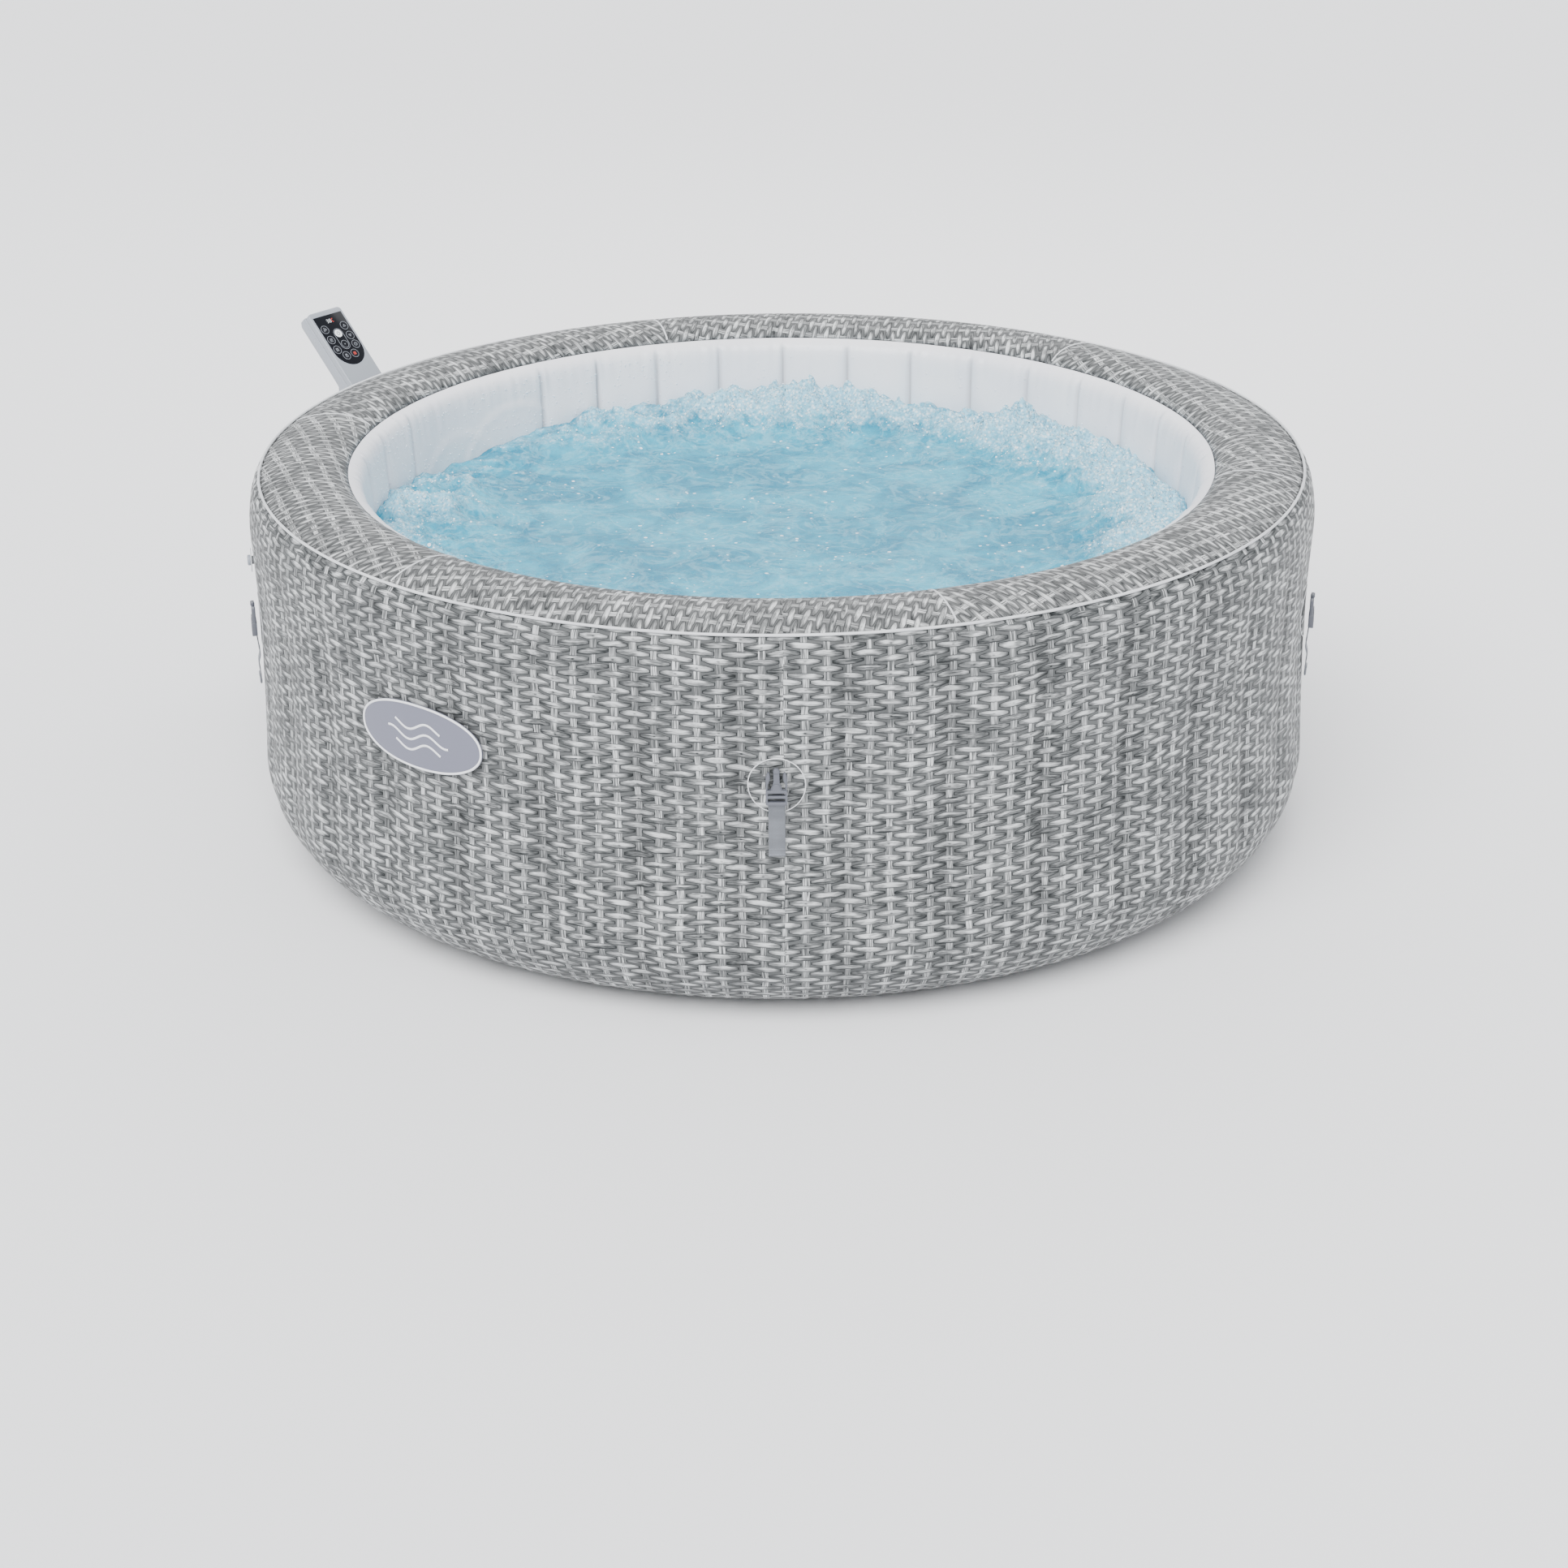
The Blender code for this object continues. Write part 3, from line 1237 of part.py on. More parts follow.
heater_front = PUMP_FRONT + HEATER_SET_BACK
heater_back = heater_front + HEATER_LENGTH
element_hole = ELEMENT_RADIUS + GAP
heater_tube = turned(
    "heater_tube",
    [
        (STUB_RADIUS - 0.003, heater_front),
        (HEATER_RADIUS, heater_front),
        (HEATER_RADIUS, heater_back),
        (element_hole, heater_back),
        (element_hole, heater_back - FITTING_WALL),
        (HEATER_RADIUS - FITTING_WALL, heater_back - FITTING_WALL),
        (HEATER_RADIUS - FITTING_WALL, heater_front + FITTING_WALL),
        (STUB_RADIUS - 0.003, heater_front + FITTING_WALL),
    ],
    pump_frame,
    return_at,
    OUT,
)
heater_inlet_y = heater_back - 0.025
heater_inlet = bar(
    "heater_inlet",
    PIPE_RADIUS + PORT_CLEARANCE,
    (-PORT_SPREAD, heater_inlet_y, WATER_PORT_HEIGHT + HEATER_RADIUS / 2),
    (-PORT_SPREAD, heater_inlet_y, WATER_PORT_HEIGHT + HEATER_RADIUS * 1.5),
    pump_frame,
    steps=12,
)
combine(heater_tube, heater_inlet, "DIFFERENCE")
finish(heater_tube, (0.60, 0.60, 0.60), 0.3, 0.9)
heating_element = bar(
    "heating_element",
    ELEMENT_RADIUS,
    (-PORT_SPREAD, heater_front + 0.020, WATER_PORT_HEIGHT),
    (-PORT_SPREAD, heater_back + ELEMENT_TAIL, WATER_PORT_HEIGHT),
    pump_frame,
    cutter=False,
    steps=12,
)
finish(heating_element, (0.45, 0.42, 0.40), 0.35, 1.0)

heater_feed_pipe = tube(
    "heater_feed_pipe",
    [
        (PORT_SPREAD, volute_middle, WATER_PORT_HEIGHT + VOLUTE_RADIUS - FITTING_WALL / 2),
        (PORT_SPREAD, volute_middle, WATER_PORT_HEIGHT + VOLUTE_RADIUS + 0.020),
        (PORT_SPREAD * 0.8, volute_middle + 0.010, PIPE_HEIGHT - 0.010),
        (PORT_SPREAD * 0.3, (volute_middle * 2 + heater_inlet_y) / 3, PIPE_HEIGHT),
        (-PORT_SPREAD * 0.3, (volute_middle + heater_inlet_y * 2) / 3, PIPE_HEIGHT),
        (-PORT_SPREAD * 0.8, heater_inlet_y - 0.010, PIPE_HEIGHT - 0.012),
        (-PORT_SPREAD, heater_inlet_y, WATER_PORT_HEIGHT + HEATER_RADIUS + 0.035),
        (-PORT_SPREAD, heater_inlet_y, WATER_PORT_HEIGHT + HEATER_RADIUS - FITTING_WALL / 2),
    ],
    PIPE_RADIUS,
    pump_frame,
)
finish(heater_feed_pipe, (0.70, 0.70, 0.70), 0.4)

# --- air blower -----------------------------------------------------------------------------------
blower_at = Vector((BLOWER_SHIFT, PUMP_FRONT + BLOWER_SET_BACK, AIR_PORT_HEIGHT))
half_blower = BLOWER_HEIGHT / 2
blower_housing = turned(
    "blower_housing",
    [
        (FAN_INLET_RADIUS, -half_blower),
        (BLOWER_RADIUS, -half_blower),
        (BLOWER_RADIUS, half_blower),
        (shaft_hole, half_blower),
        (shaft_hole, half_blower - FITTING_WALL),
        (BLOWER_RADIUS - FITTING_WALL, half_blower - FITTING_WALL),
        (BLOWER_RADIUS - FITTING_WALL, FITTING_WALL - half_blower),
        (FAN_INLET_RADIUS, FITTING_WALL - half_blower),
    ],
    pump_frame,
    blower_at,
    steps=24,
)
blower_outlet = bar(
    "blower_outlet",
    STUB_RADIUS + PORT_CLEARANCE,
    (0, PUMP_FRONT + 0.030, AIR_PORT_HEIGHT),
    (0, blower_at.y, AIR_PORT_HEIGHT),
    pump_frame,
)
combine(blower_housing, blower_outlet, "DIFFERENCE")
finish(blower_housing, (0.08, 0.08, 0.09), 0.5)
blower_fan = rotor(
    "blower_fan",
    FAN_RADIUS,
    0.026,
    -0.014,
    half_blower + GAP + SHAFT_SEAT,
    pump_frame,
    blower_at,
    (0, 0, 0),
)
finish(blower_fan, (0.80, 0.80, 0.78), 0.5)
blower_motor = motor(
    "blower_motor",
    BLOWER_MOTOR_RADIUS,
    BLOWER_MOTOR_HEIGHT,
    half_blower + GAP,
    pump_frame,
    blower_at,
    (0, 0, 0),
)
finish(blower_motor, (0.35, 0.36, 0.38), 0.4, 0.8)

board_y = PUMP_REAR - PUMP_WALL - 0.016
board_steps = [
    (0.0, 0.020, BOARD_THICKNESS),
    (0.020, 0.050, RELAY_DEPTH),
    (0.050, 0.095, BOARD_THICKNESS),
    (0.095, 0.130, CAPACITOR_DEPTH),
    (0.130, 0.170, BOARD_THICKNESS),
]
board_outline = [(0, BOARD_BOTTOM)]
for low, high, depth in board_steps:
    board_outline += [(depth, BOARD_BOTTOM + low), (depth, BOARD_BOTTOM + high)]
board_outline.append((0, board_outline[-1][1]))
control_board = plate("control_board", [board_outline], 0.100, pump_frame, (0, board_y, 0), SIDE_ON)
finish(control_board, (0.05, 0.25, 0.12), 0.5)

# --- control head: neck, leaning arm in two shells, display board and touch panel -----------------
head_axis = frame("head_axis", parent=pump_frame, location=(0, SWIVEL_Y, PUMP_HEIGHT))
lean = math.radians(ARM_LEAN)
neck_top = GAP + NECK_HEIGHT
swivel_neck = turned(
    "swivel_neck",
    [
        (0, GAP),
        (NECK_RADIUS, GAP),
        (NECK_RADIUS, neck_top - NECK_CHAMFER),
        (NECK_RADIUS - NECK_CHAMFER, neck_top),
        (0, neck_top),
    ],
    head_axis,
    steps=24,
)
finish(swivel_neck, (0.20, 0.21, 0.23), 0.45)


def arm_point(down, behind):
    """(outwards, up) of a point on the arm's side: down from the top edge, and behind the face."""
    return (
        ARM_TOP_OUT - down * math.sin(lean) + behind * math.cos(lean),
        ARM_TOP_RISE - down * math.cos(lean) - behind * math.sin(lean),
    )


arm_face = frame(
    "arm_face",
    parent=head_axis,
    location=(0, ARM_TOP_OUT, ARM_TOP_RISE),
    rotation=(math.pi / 2 - lean, 0, 0),
)
head_front_shell = plate(
    "head_front_shell",
    [rounded_rectangle(ARM_WIDTH, ARM_FACE_LENGTH, 0.008, (0, -ARM_FACE_LENGTH / 2), 2)],
    ARM_SHELL_SPLIT,
    arm_face,
    (0, 0, -ARM_SHELL_SPLIT / 2),
)


def panel_outline(grow=0.0):
    """Straight across the top and down the sides, with a half-round lower end."""
    half = PANEL_WIDTH / 2 + grow
    low = -PANEL_INSET - PANEL_LENGTH + PANEL_WIDTH / 2
    top = -PANEL_INSET + grow
    return [(half, top), (-half, top), *arc((0, low), half, 180, 360, 10)]


panel_pocket = plate(
    "panel_pocket",
    [panel_outline(GAP)],
    0.02,
    arm_face,
    (0, 0, 0.01 - PANEL_THICKNESS),
    cutter=True,
)
combine(head_front_shell, panel_pocket, "DIFFERENCE")
finish(head_front_shell, (0.58, 0.61, 0.64), 0.35, 0.2)
touch_panel = plate(
    "touch_panel",
    [panel_outline()],
    PANEL_THICKNESS - GAP,
    arm_face,
    (0, 0, GAP / 2 - PANEL_THICKNESS / 2),
)
finish(touch_panel, (0.01, 0.01, 0.012), 0.12)

split = ARM_SHELL_SPLIT + GAP
rear_outline = [
    arm_point(0, split),
    arm_point(ARM_FACE_LENGTH + GAP, split),
    arm_point(ARM_FACE_LENGTH + GAP, 0),
    arm_point(ARM_FACE_LENGTH + 0.012, 0),
    (-ARM_FOOT / 2, neck_top + GAP),
    (ARM_FOOT / 2, neck_top + GAP),
    arm_point(ARM_SHOULDER + 0.012, ARM_THICKNESS + 0.001),
    arm_point(ARM_SHOULDER - 0.010, ARM_THICKNESS),
    arm_point(0.008, ARM_THICKNESS),
    arm_point(0, ARM_THICKNESS - 0.006),
]
head_rear_shell = plate("head_rear_shell", [rear_outline], ARM_WIDTH, head_axis, rotation=SIDE_ON)
board_depth = ARM_SHELL_SPLIT + 0.003
board_pocket = block(
    "board_pocket",
    (BOARD_WIDTH + 0.004, BOARD_LENGTH + 0.004, 0.016),
    (0, -PANEL_INSET - 0.004 - BOARD_LENGTH / 2, -ARM_SHELL_SPLIT),
    arm_face,
)
combine(head_rear_shell, board_pocket, "DIFFERENCE")
finish(head_rear_shell, (0.55, 0.58, 0.61), 0.35, 0.2)
display_board = block(
    "display_board",
    (BOARD_WIDTH, BOARD_LENGTH, BOARD_THICKNESS),
    (0, -PANEL_INSET - 0.004 - BOARD_LENGTH / 2, -board_depth - BOARD_THICKNESS / 2),
    arm_face,
    cutter=False,
)
finish(display_board, (0.05, 0.25, 0.12), 0.5)

# --- round pieces shade smooth --------------------------------------------------------------------
for piece in parts.objects:
    if piece.type == "MESH":
        piece.data.shade_smooth()
        piece.data.set_sharp_from_angle(angle=math.radians(40))
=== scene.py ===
import json
import math

import bmesh
import bpy
from mathutils import Matrix, Vector, noise

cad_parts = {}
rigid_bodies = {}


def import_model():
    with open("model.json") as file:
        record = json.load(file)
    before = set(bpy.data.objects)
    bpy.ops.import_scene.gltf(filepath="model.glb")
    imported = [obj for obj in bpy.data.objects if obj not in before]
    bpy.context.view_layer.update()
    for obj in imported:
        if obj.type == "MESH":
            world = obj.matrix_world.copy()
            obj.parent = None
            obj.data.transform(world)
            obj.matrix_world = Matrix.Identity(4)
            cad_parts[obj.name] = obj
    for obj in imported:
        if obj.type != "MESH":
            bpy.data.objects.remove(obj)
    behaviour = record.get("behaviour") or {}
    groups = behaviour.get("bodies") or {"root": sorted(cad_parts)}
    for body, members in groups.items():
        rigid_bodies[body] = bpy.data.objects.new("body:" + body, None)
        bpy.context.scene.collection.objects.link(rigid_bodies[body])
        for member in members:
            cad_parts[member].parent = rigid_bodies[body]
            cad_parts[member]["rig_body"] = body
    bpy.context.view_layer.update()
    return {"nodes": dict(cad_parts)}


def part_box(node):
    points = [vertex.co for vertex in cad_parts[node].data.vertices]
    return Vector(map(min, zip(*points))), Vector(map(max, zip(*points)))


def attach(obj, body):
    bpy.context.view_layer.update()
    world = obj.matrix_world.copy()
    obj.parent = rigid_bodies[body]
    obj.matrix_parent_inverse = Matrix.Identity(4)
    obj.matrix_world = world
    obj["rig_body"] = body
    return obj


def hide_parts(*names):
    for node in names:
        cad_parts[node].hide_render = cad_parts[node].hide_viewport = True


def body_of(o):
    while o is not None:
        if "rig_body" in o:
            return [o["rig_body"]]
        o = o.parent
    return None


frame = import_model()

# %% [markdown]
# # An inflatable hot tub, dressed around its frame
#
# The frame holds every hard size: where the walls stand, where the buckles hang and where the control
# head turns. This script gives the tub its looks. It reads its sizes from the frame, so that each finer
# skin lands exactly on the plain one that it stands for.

# %% [markdown]
# ## Sizes that the skins share
#
# A tub like this is a ring of welded sheets. Everything follows from five circles: the foot, the widest
# part, the piped seam, the weld inside the rim and the liner. An azimuth is counted in degrees from the
# front buckle's side, -Y, towards +X, and polar() turns it into a point.

# %% The circles of the tub
wall_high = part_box("outer_wall")[1]
liner_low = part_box("inner_wall")[0]
panel_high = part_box("top_panel")[1]
piping_low, piping_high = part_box("rim_piping")
SKIN = 0.0012
WALL_RADIUS = wall_high.x
SEAM_HEIGHT = wall_high.z
CREST = panel_high.z
PIPING_RADIUS = (piping_high.z - piping_low.z) / 2
SEAM_RADIUS = piping_high.x - PIPING_RADIUS
FOOT_TUCK = 0.153
FOOT_RADIUS = WALL_RADIUS - FOOT_TUCK
LINER_RADIUS = WALL_RADIUS - 0.193
RIM_INNER = LINER_RADIUS + 0.024
BULGE_HEIGHT = 0.150
SHOULDER_HEIGHT = 0.080
WAIST = 0.006
WEB_PITCH = 10.0
OUTER_WEB_PHASE = 5.8
LINER_WEB_PHASE = 9.3
PUMP_AZIMUTH = 231.2
print("wall", round(WALL_RADIUS, 3), "seam", round(SEAM_RADIUS, 3), "at", round(SEAM_HEIGHT, 3))


def polar(azimuth, radius, height):
    """The point at an azimuth in degrees, a distance from the tub's axis and a height."""
    turn = math.radians(azimuth)
    return Vector((radius * math.sin(turn), -radius * math.cos(turn), height))


def smooth(value, low, high):
    """0 below low, 1 above high, and an S-curve between. It runs down where low is above high."""
    share = min(max((value - low) / (high - low), 0.0), 1.0)
    return share * share * (3 - 2 * share)


def bezier(points, share):
    """A point of the cubic curve through four control points."""
    a, b, c, d = (Vector(p) for p in points)
    rest = 1 - share
    return a * rest**3 + b * 3 * rest * rest * share + c * 3 * rest * share**2 + d * share**3


# %% [markdown]
# ## The camera and the studio
#
# The tub is seen from the front and a little above, through a lens long enough to keep its sides
# nearly upright. A pale floor and large soft lights leave no hard shadows. The key light stands high at
# the front and left, where the print is brightest.

# %% Camera
CAMERA_PLACE = Vector((0.0, -5.2586, 2.3030))
CAMERA_PITCH = math.radians(90 - 23.405)
CAMERA_ROLL = math.radians(-0.438)
camera_data = bpy.data.cameras.new("camera")
camera_data.lens = 74.42
camera_data.sensor_width = 36.0
camera = bpy.data.objects.new("camera", camera_data)
camera.matrix_world = (
    Matrix.Translation(CAMERA_PLACE)
    @ Matrix.Rotation(CAMERA_PITCH, 4, "X")
    @ Matrix.Rotation(CAMERA_ROLL, 4, "Z")
)
bpy.context.scene.collection.objects.link(camera)
bpy.context.scene.camera = camera
print("camera at", tuple(CAMERA_PLACE), "lens", camera_data.lens)


# %% Soft lights and a pale world
def softbox(name, place, aim, size, power):
    """A large square lamp at a place, turned towards a point."""
    data = bpy.data.lights.new(name, "AREA")
    data.shape = "RECTANGLE"
    data.size, data.size_y = size
    data.energy = power
    lamp = bpy.data.objects.new(name, data)
    lamp.location = place
    lamp.rotation_euler = (Vector(aim) - Vector(place)).to_track_quat("-Z", "Y").to_euler()
    bpy.context.scene.collection.objects.link(lamp)


sun = bpy.data.lights.new("key_light", "SUN")
sun.energy = 4.7
sun.angle = math.radians(50)
key = bpy.data.objects.new("key_light", sun)
key.rotation_euler = Vector((0.26, 0.78, -1.0)).to_track_quat("-Z", "Y").to_euler()
bpy.context.scene.collection.objects.link(key)
softbox("fill_light", (3.6, -3.4, 1.6), (0, 0, 0.4), (2.0, 2.0), 18)
softbox("back_light", (0.5, 3.8, 3.4), (0, 0, 0.5), (3.6, 2.0), 60)
world = bpy.data.worlds.new("studio")
world.use_nodes = True
world.node_tree.nodes["Background"].inputs["Color"].default_value = (0.95, 0.97, 1.0, 1.0)
world.node_tree.nodes["Background"].inputs["Strength"].default_value = 1.15
bpy.context.scene.world = world
print("three soft lights and a pale world")

# %% [markdown]
# ## Writing shader nodes as sentences
#
# Node trees grow long when each node is placed and wired by hand. This small class adds a node, sets
# what it is given, and links whatever is itself a socket, so a pattern reads as a list of sums.


# %% A short hand for shader nodes
class Shade:
    """Adds nodes to one tree, and gives back the socket to go on from."""

    def __init__(self, tree):
        self.tree = tree

    def give(self, socket, value):
        if isinstance(value, bpy.types.NodeSocket):
            self.tree.links.new(value, socket)
        elif value is not None:
            socket.default_value = value

    def node(self, kind, inputs=None, **settings):
        made = self.tree.nodes.new(kind if kind.startswith("NodeGroup") else "ShaderNode" + kind)
        for key, value in settings.items():
            setattr(made, key, value)
        for key, value in (inputs or {}).items():
            self.give(made.inputs[key], value)
        return made

    def math(self, operation, *values, clamp=False):
        made = self.node("Math", operation=operation, use_clamp=clamp)
        for socket, value in zip(made.inputs, values):
            self.give(socket, value)
        return made.outputs[0]

    def times(self, *values):
        return self.math("MULTIPLY", *values)

    def plus(self, *values):
        return self.math("ADD", *values)

    def minus(self, *values):
        return self.math("SUBTRACT", *values)

    def linear(self, value, factor, offset):
        """value * factor + offset."""
        return self.math("MULTIPLY_ADD", value, factor, offset)

    def length(self, vector):
        return self.node("VectorMath", {0: vector}, operation="LENGTH").outputs["Value"]

    def parts(self, vector):
        return self.node("SeparateXYZ", {0: vector}).outputs

    def channels(self, colour):
        return self.node("SeparateColor", {0: colour}).outputs

    def mix(self, share, low, high, blend="MIX"):
        made = self.node("Mix", data_type="RGBA", blend_type=blend)
        for index, value in ((0, share), (6, low), (7, high)):
            self.give(made.inputs[index], value)
        return made.outputs[2]

    def span(self, value, low, high, to_low=0.0, to_high=1.0, kind="SMOOTHSTEP"):
        made = self.node("MapRange", interpolation_type=kind)
        for socket, given in zip(made.inputs, (value, low, high, to_low, to_high)):
            self.give(socket, given)
        return made.outputs[0]

    def vector(self, x=0.0, y=0.0, z=0.0):
        return self.node("CombineXYZ", {0: x, 1: y, 2: z}).outputs[0]

    def scaled(self, vector, factors):
        made = self.node("VectorMath", {0: vector, 1: factors}, operation="MULTIPLY")
        return made.outputs[0]

    def noise(self, vector, scale, detail=2.0, rough=0.5, twist=0.0, output="Fac"):
        inputs = {"Vector": vector, "Scale": scale, "Detail": detail, "Roughness": rough}
        return self.node("TexNoise", {**inputs, "Distortion": twist}).outputs[output]

    def cells(self, vector, scale, output="Distance"):
        return self.node("TexVoronoi", {"Vector": vector, "Scale": scale}).outputs[output]

    def toned(self, colour, tone):
        return self.mix(1.0, colour, self.vector(tone, tone, tone), "MULTIPLY")

    def place(self):
        """Where a point lies on its own piece."""
        return self.node("TexCoord").outputs["Object"]

    def bump(self, height, depth, strength):
        inputs = {"Height": height, "Distance": depth, "Strength": strength}
        return self.node("Bump", inputs).outputs[0]

    def send(self, sockets, **values):
        """Links or sets several sockets of a shader or a group by name."""
        for key, value in values.items():
            self.give(sockets[key.replace("_", " ")], value)

    def group(self, name, **inputs):
        made = self.node("Group", node_tree=bpy.data.node_groups[name])
        self.send(made.inputs, **inputs)
        return made.outputs


def shader_group(name, inputs, outputs):
    """An empty group with named sockets, as (its Shade, what it is given, the sockets that it puts out)."""
    tree = bpy.data.node_groups.new(name, "ShaderNodeTree")
    kinds = {float: "NodeSocketFloat", tuple: "NodeSocketColor", Vector: "NodeSocketVector"}
    for label, value in inputs.items():
        socket = tree.interface.new_socket(label, in_out="INPUT", socket_type=kinds[type(value)])
        socket.default_value = value
    for label, kind in outputs.items():
        tree.interface.new_socket(label, in_out="OUTPUT", socket_type=kinds[kind])
    shade = Shade(tree)
    given = shade.node("NodeGroupInput").outputs
    return shade, given, shade.node("NodeGroupOutput").inputs


def new_finish(name, colour, roughness, metallic=0.0, **sockets):
    """A material with its Principled shader set, as (the material, its Shade, the shader)."""
    material = bpy.data.materials.new(name)
    material.use_nodes = True
    shader = material.node_tree.nodes["Principled BSDF"]
    shader.inputs["Base Color"].default_value = (*colour, 1.0)
    shader.inputs["Roughness"].default_value = roughness
    shader.inputs["Metallic"].default_value = metallic
    for key, value in sockets.items():
        shader.inputs[key.replace("_", " ")].default_value = value
    return material, Shade(material.node_tree), shader


# %% [markdown]
# ## The floor
#
# One matt sheet, so much wider than the view that its edge is never seen.

# %% Floor
floor_finish, shade, shader = new_finish("floor_paint", (0.93, 0.93, 0.94), 0.85)
bpy.ops.mesh.primitive_plane_add(size=600.0)
floor = bpy.context.object
floor.name = "studio_floor"
floor.data.materials.append(floor_finish)

# %% [markdown]
# ## Effects that many finishes share
#
# Four effects turn up again and again on a tub: the woven print, the fine grain of moulded plastic, the
# faint clouding of handled vinyl and the ribs of woven webbing. Each is a node group, built once. A
# group puts out colours, masks and heights only, and each material keeps its own shader.

# %% The woven print
# Place counts stakes along x and rows along y. Each row's strands pass over every second stake, and the
# next row's pass over the others.
shade, given, out = shader_group(
    "woven_print",
    {
        "Place": Vector((0, 0, 0)),
        "Light": (0.62, 0.63, 0.64, 1.0),
        "Dark": (0.06, 0.07, 0.075, 1.0),
        "Wobble": 1.0,
        "Contrast": 1.0,
    },
    {"Color": tuple, "Height": float},
)
drift = shade.noise(shade.scaled(given["Place"], (0.22, 0.08, 1.0)), 1.0, 2.0, output="Color")
drift_parts = shade.channels(drift)
place_parts = shade.parts(given["Place"])
sway = shade.times(shade.minus(drift_parts[0], 0.5), given["Wobble"])
heave = shade.times(shade.minus(drift_parts[1], 0.5), given["Wobble"])
across = shade.linear(sway, 0.7, place_parts[0])
along = shade.linear(heave, 2.4, place_parts[1])
row = shade.math("FLOOR", along)
odd = shade.math("FLOORED_MODULO", row, 2.0)
shifted = shade.plus(across, odd)
strand_place = shade.minus(shade.math("FLOORED_MODULO", shifted, 2.0), 1.0)
from_middle = shade.math("ABSOLUTE", strand_place)
cell = shade.math("FLOOR", shade.times(shifted, 0.5))
luck = shade.node("TexWhiteNoise", {"Vector": shade.vector(cell, row)}, noise_dimensions="2D").outputs
chance = shade.channels(luck["Color"])
tilt = shade.times(shade.minus(chance[0], 0.5), strand_place)
off = shade.linear(tilt, 0.34, shade.linear(chance[2], 0.14, -0.07))
in_row = shade.plus(shade.minus(shade.math("FRACT", along), 0.5), off)
from_row = shade.times(shade.math("ABSOLUTE", in_row), 2.0)
ragged_at = shade.vector(shade.times(across, 3.0), shade.times(along, 1.5))
ragged = shade.linear(shade.noise(ragged_at, 1.0, 3.0, 0.6), 0.36, -0.18)
reach = shade.linear(chance[1], 0.12, 0.73)
share = shade.math("DIVIDE", from_middle, reach)
taper = shade.times(shade.math("POWER", share, 2.2), 0.50)
thick = shade.minus(shade.plus(0.88, ragged), taper)
side_room = shade.math("DIVIDE", shade.minus(thick, from_row), 0.13)
end_room = shade.math("DIVIDE", shade.minus(reach, from_middle), 0.05)
room = shade.math("MINIMUM", side_room, end_room)
strand = shade.span(room, 0.0, 1.0)
shadow = shade.span(room, -0.85, 0.25)
jump = shade.times(luck["Value"], 57.0)
streak_at = shade.vector(shade.linear(shifted, 1.7, jump), shade.times(along, 6.5), jump)
streak = shade.span(shade.noise(streak_at, 1.0, 3.0, 0.65), 0.36, 0.66, 0.0, 1.0, "LINEAR")
patch_at = shade.vector(shade.linear(shifted, 1.1, jump), shade.times(along, 1.1), jump)
patch_light = shade.span(shade.noise(patch_at, 1.0, 1.0), 0.40, 0.62)
sheen = shade.minus(1.0, shade.times(shade.math("POWER", share, 1.8), 0.60))
from_top = shade.minus(in_row, 0.12)
rounded = shade.minus(1.0, shade.times(shade.times(from_top, from_top), 1.7))
strand_tone = shade.times(sheen, rounded)
streaked = shade.linear(streak, 0.52, shade.linear(patch_light, 0.40, 0.26))
strand_tone = shade.times(strand_tone, streaked)
strand_tone = shade.plus(strand_tone, shade.linear(chance[0], 0.20, -0.06))
glint_at = shade.vector(shade.times(strand_place, 0.9), shade.times(from_top, 9.0))
glint_reach = shade.length(glint_at)
glint = shade.times(shade.span(glint_reach, 0.1, 0.62, 1.0, 0.0), shade.span(chance[1], 0.35, 0.8))
strand_tone = shade.linear(glint, 0.40, strand_tone)
knot = shade.vector(shade.times(strand_place, 5.0), shade.times(from_row, 1.5))
knot_reach = shade.length(knot)
knotted = shade.math("GREATER_THAN", chance[2], 0.60)
knot_mark = shade.times(shade.span(knot_reach, 0.16, 0.50, 1.0, 0.0), knotted)
strand_tone = shade.minus(strand_tone, shade.times(knot_mark, 0.26))
half_over = shade.plus(across, 0.5)
from_stake = shade.math("ABSOLUTE", shade.minus(shade.math("FRACT", half_over), 0.5))
stake = shade.span(from_stake, 0.13, 0.18, 1.0, 0.0)
stake_cell = shade.vector(shade.math("FLOOR", half_over), shade.math("FLOOR", shade.times(along, 0.5)))
stake_luck = shade.node("TexWhiteNoise", {"Vector": stake_cell}, noise_dimensions="2D").outputs["Value"]
fibre_at = shade.vector(shade.times(across, 22.0), shade.times(along, 0.30))
fibre = shade.span(shade.noise(fibre_at, 1.0, 1.5), 0.38, 0.62)
cloud_at = shade.scaled(given["Place"], (1.0, 0.36, 1.0))
cloud = shade.span(shade.noise(cloud_at, 0.34, 3.0, 0.55), 0.33, 0.67, 0.0, 1.0, "LINEAR")
stake_light = shade.linear(stake_luck, 0.24, shade.linear(cloud, 0.20, 0.12))
stake_tone = shade.linear(fibre, shade.times(stake_light, 1.5), 0.34)
ground_tone = shade.linear(stake, shade.minus(stake_tone, 0.37), 0.37)
ground_tone = shade.times(ground_tone, shade.linear(shadow, -0.74, 1.0))
lift = shade.times(strand, shade.minus(strand_tone, ground_tone))
tone = shade.plus(ground_tone, lift)
tone = shade.times(tone, shade.linear(cloud, 0.16, 0.93))
middle_tone = shade.minus(tone, 0.5)
tone = shade.math("ADD", shade.times(middle_tone, given["Contrast"]), 0.5, clamp=True)
tone = shade.math("POWER", tone, 1.9)
relief = shade.linear(strand, rounded, shade.times(stake, 0.25))
shade.send(out, Color=shade.mix(tone, given["Dark"], given["Light"]), Height=relief)
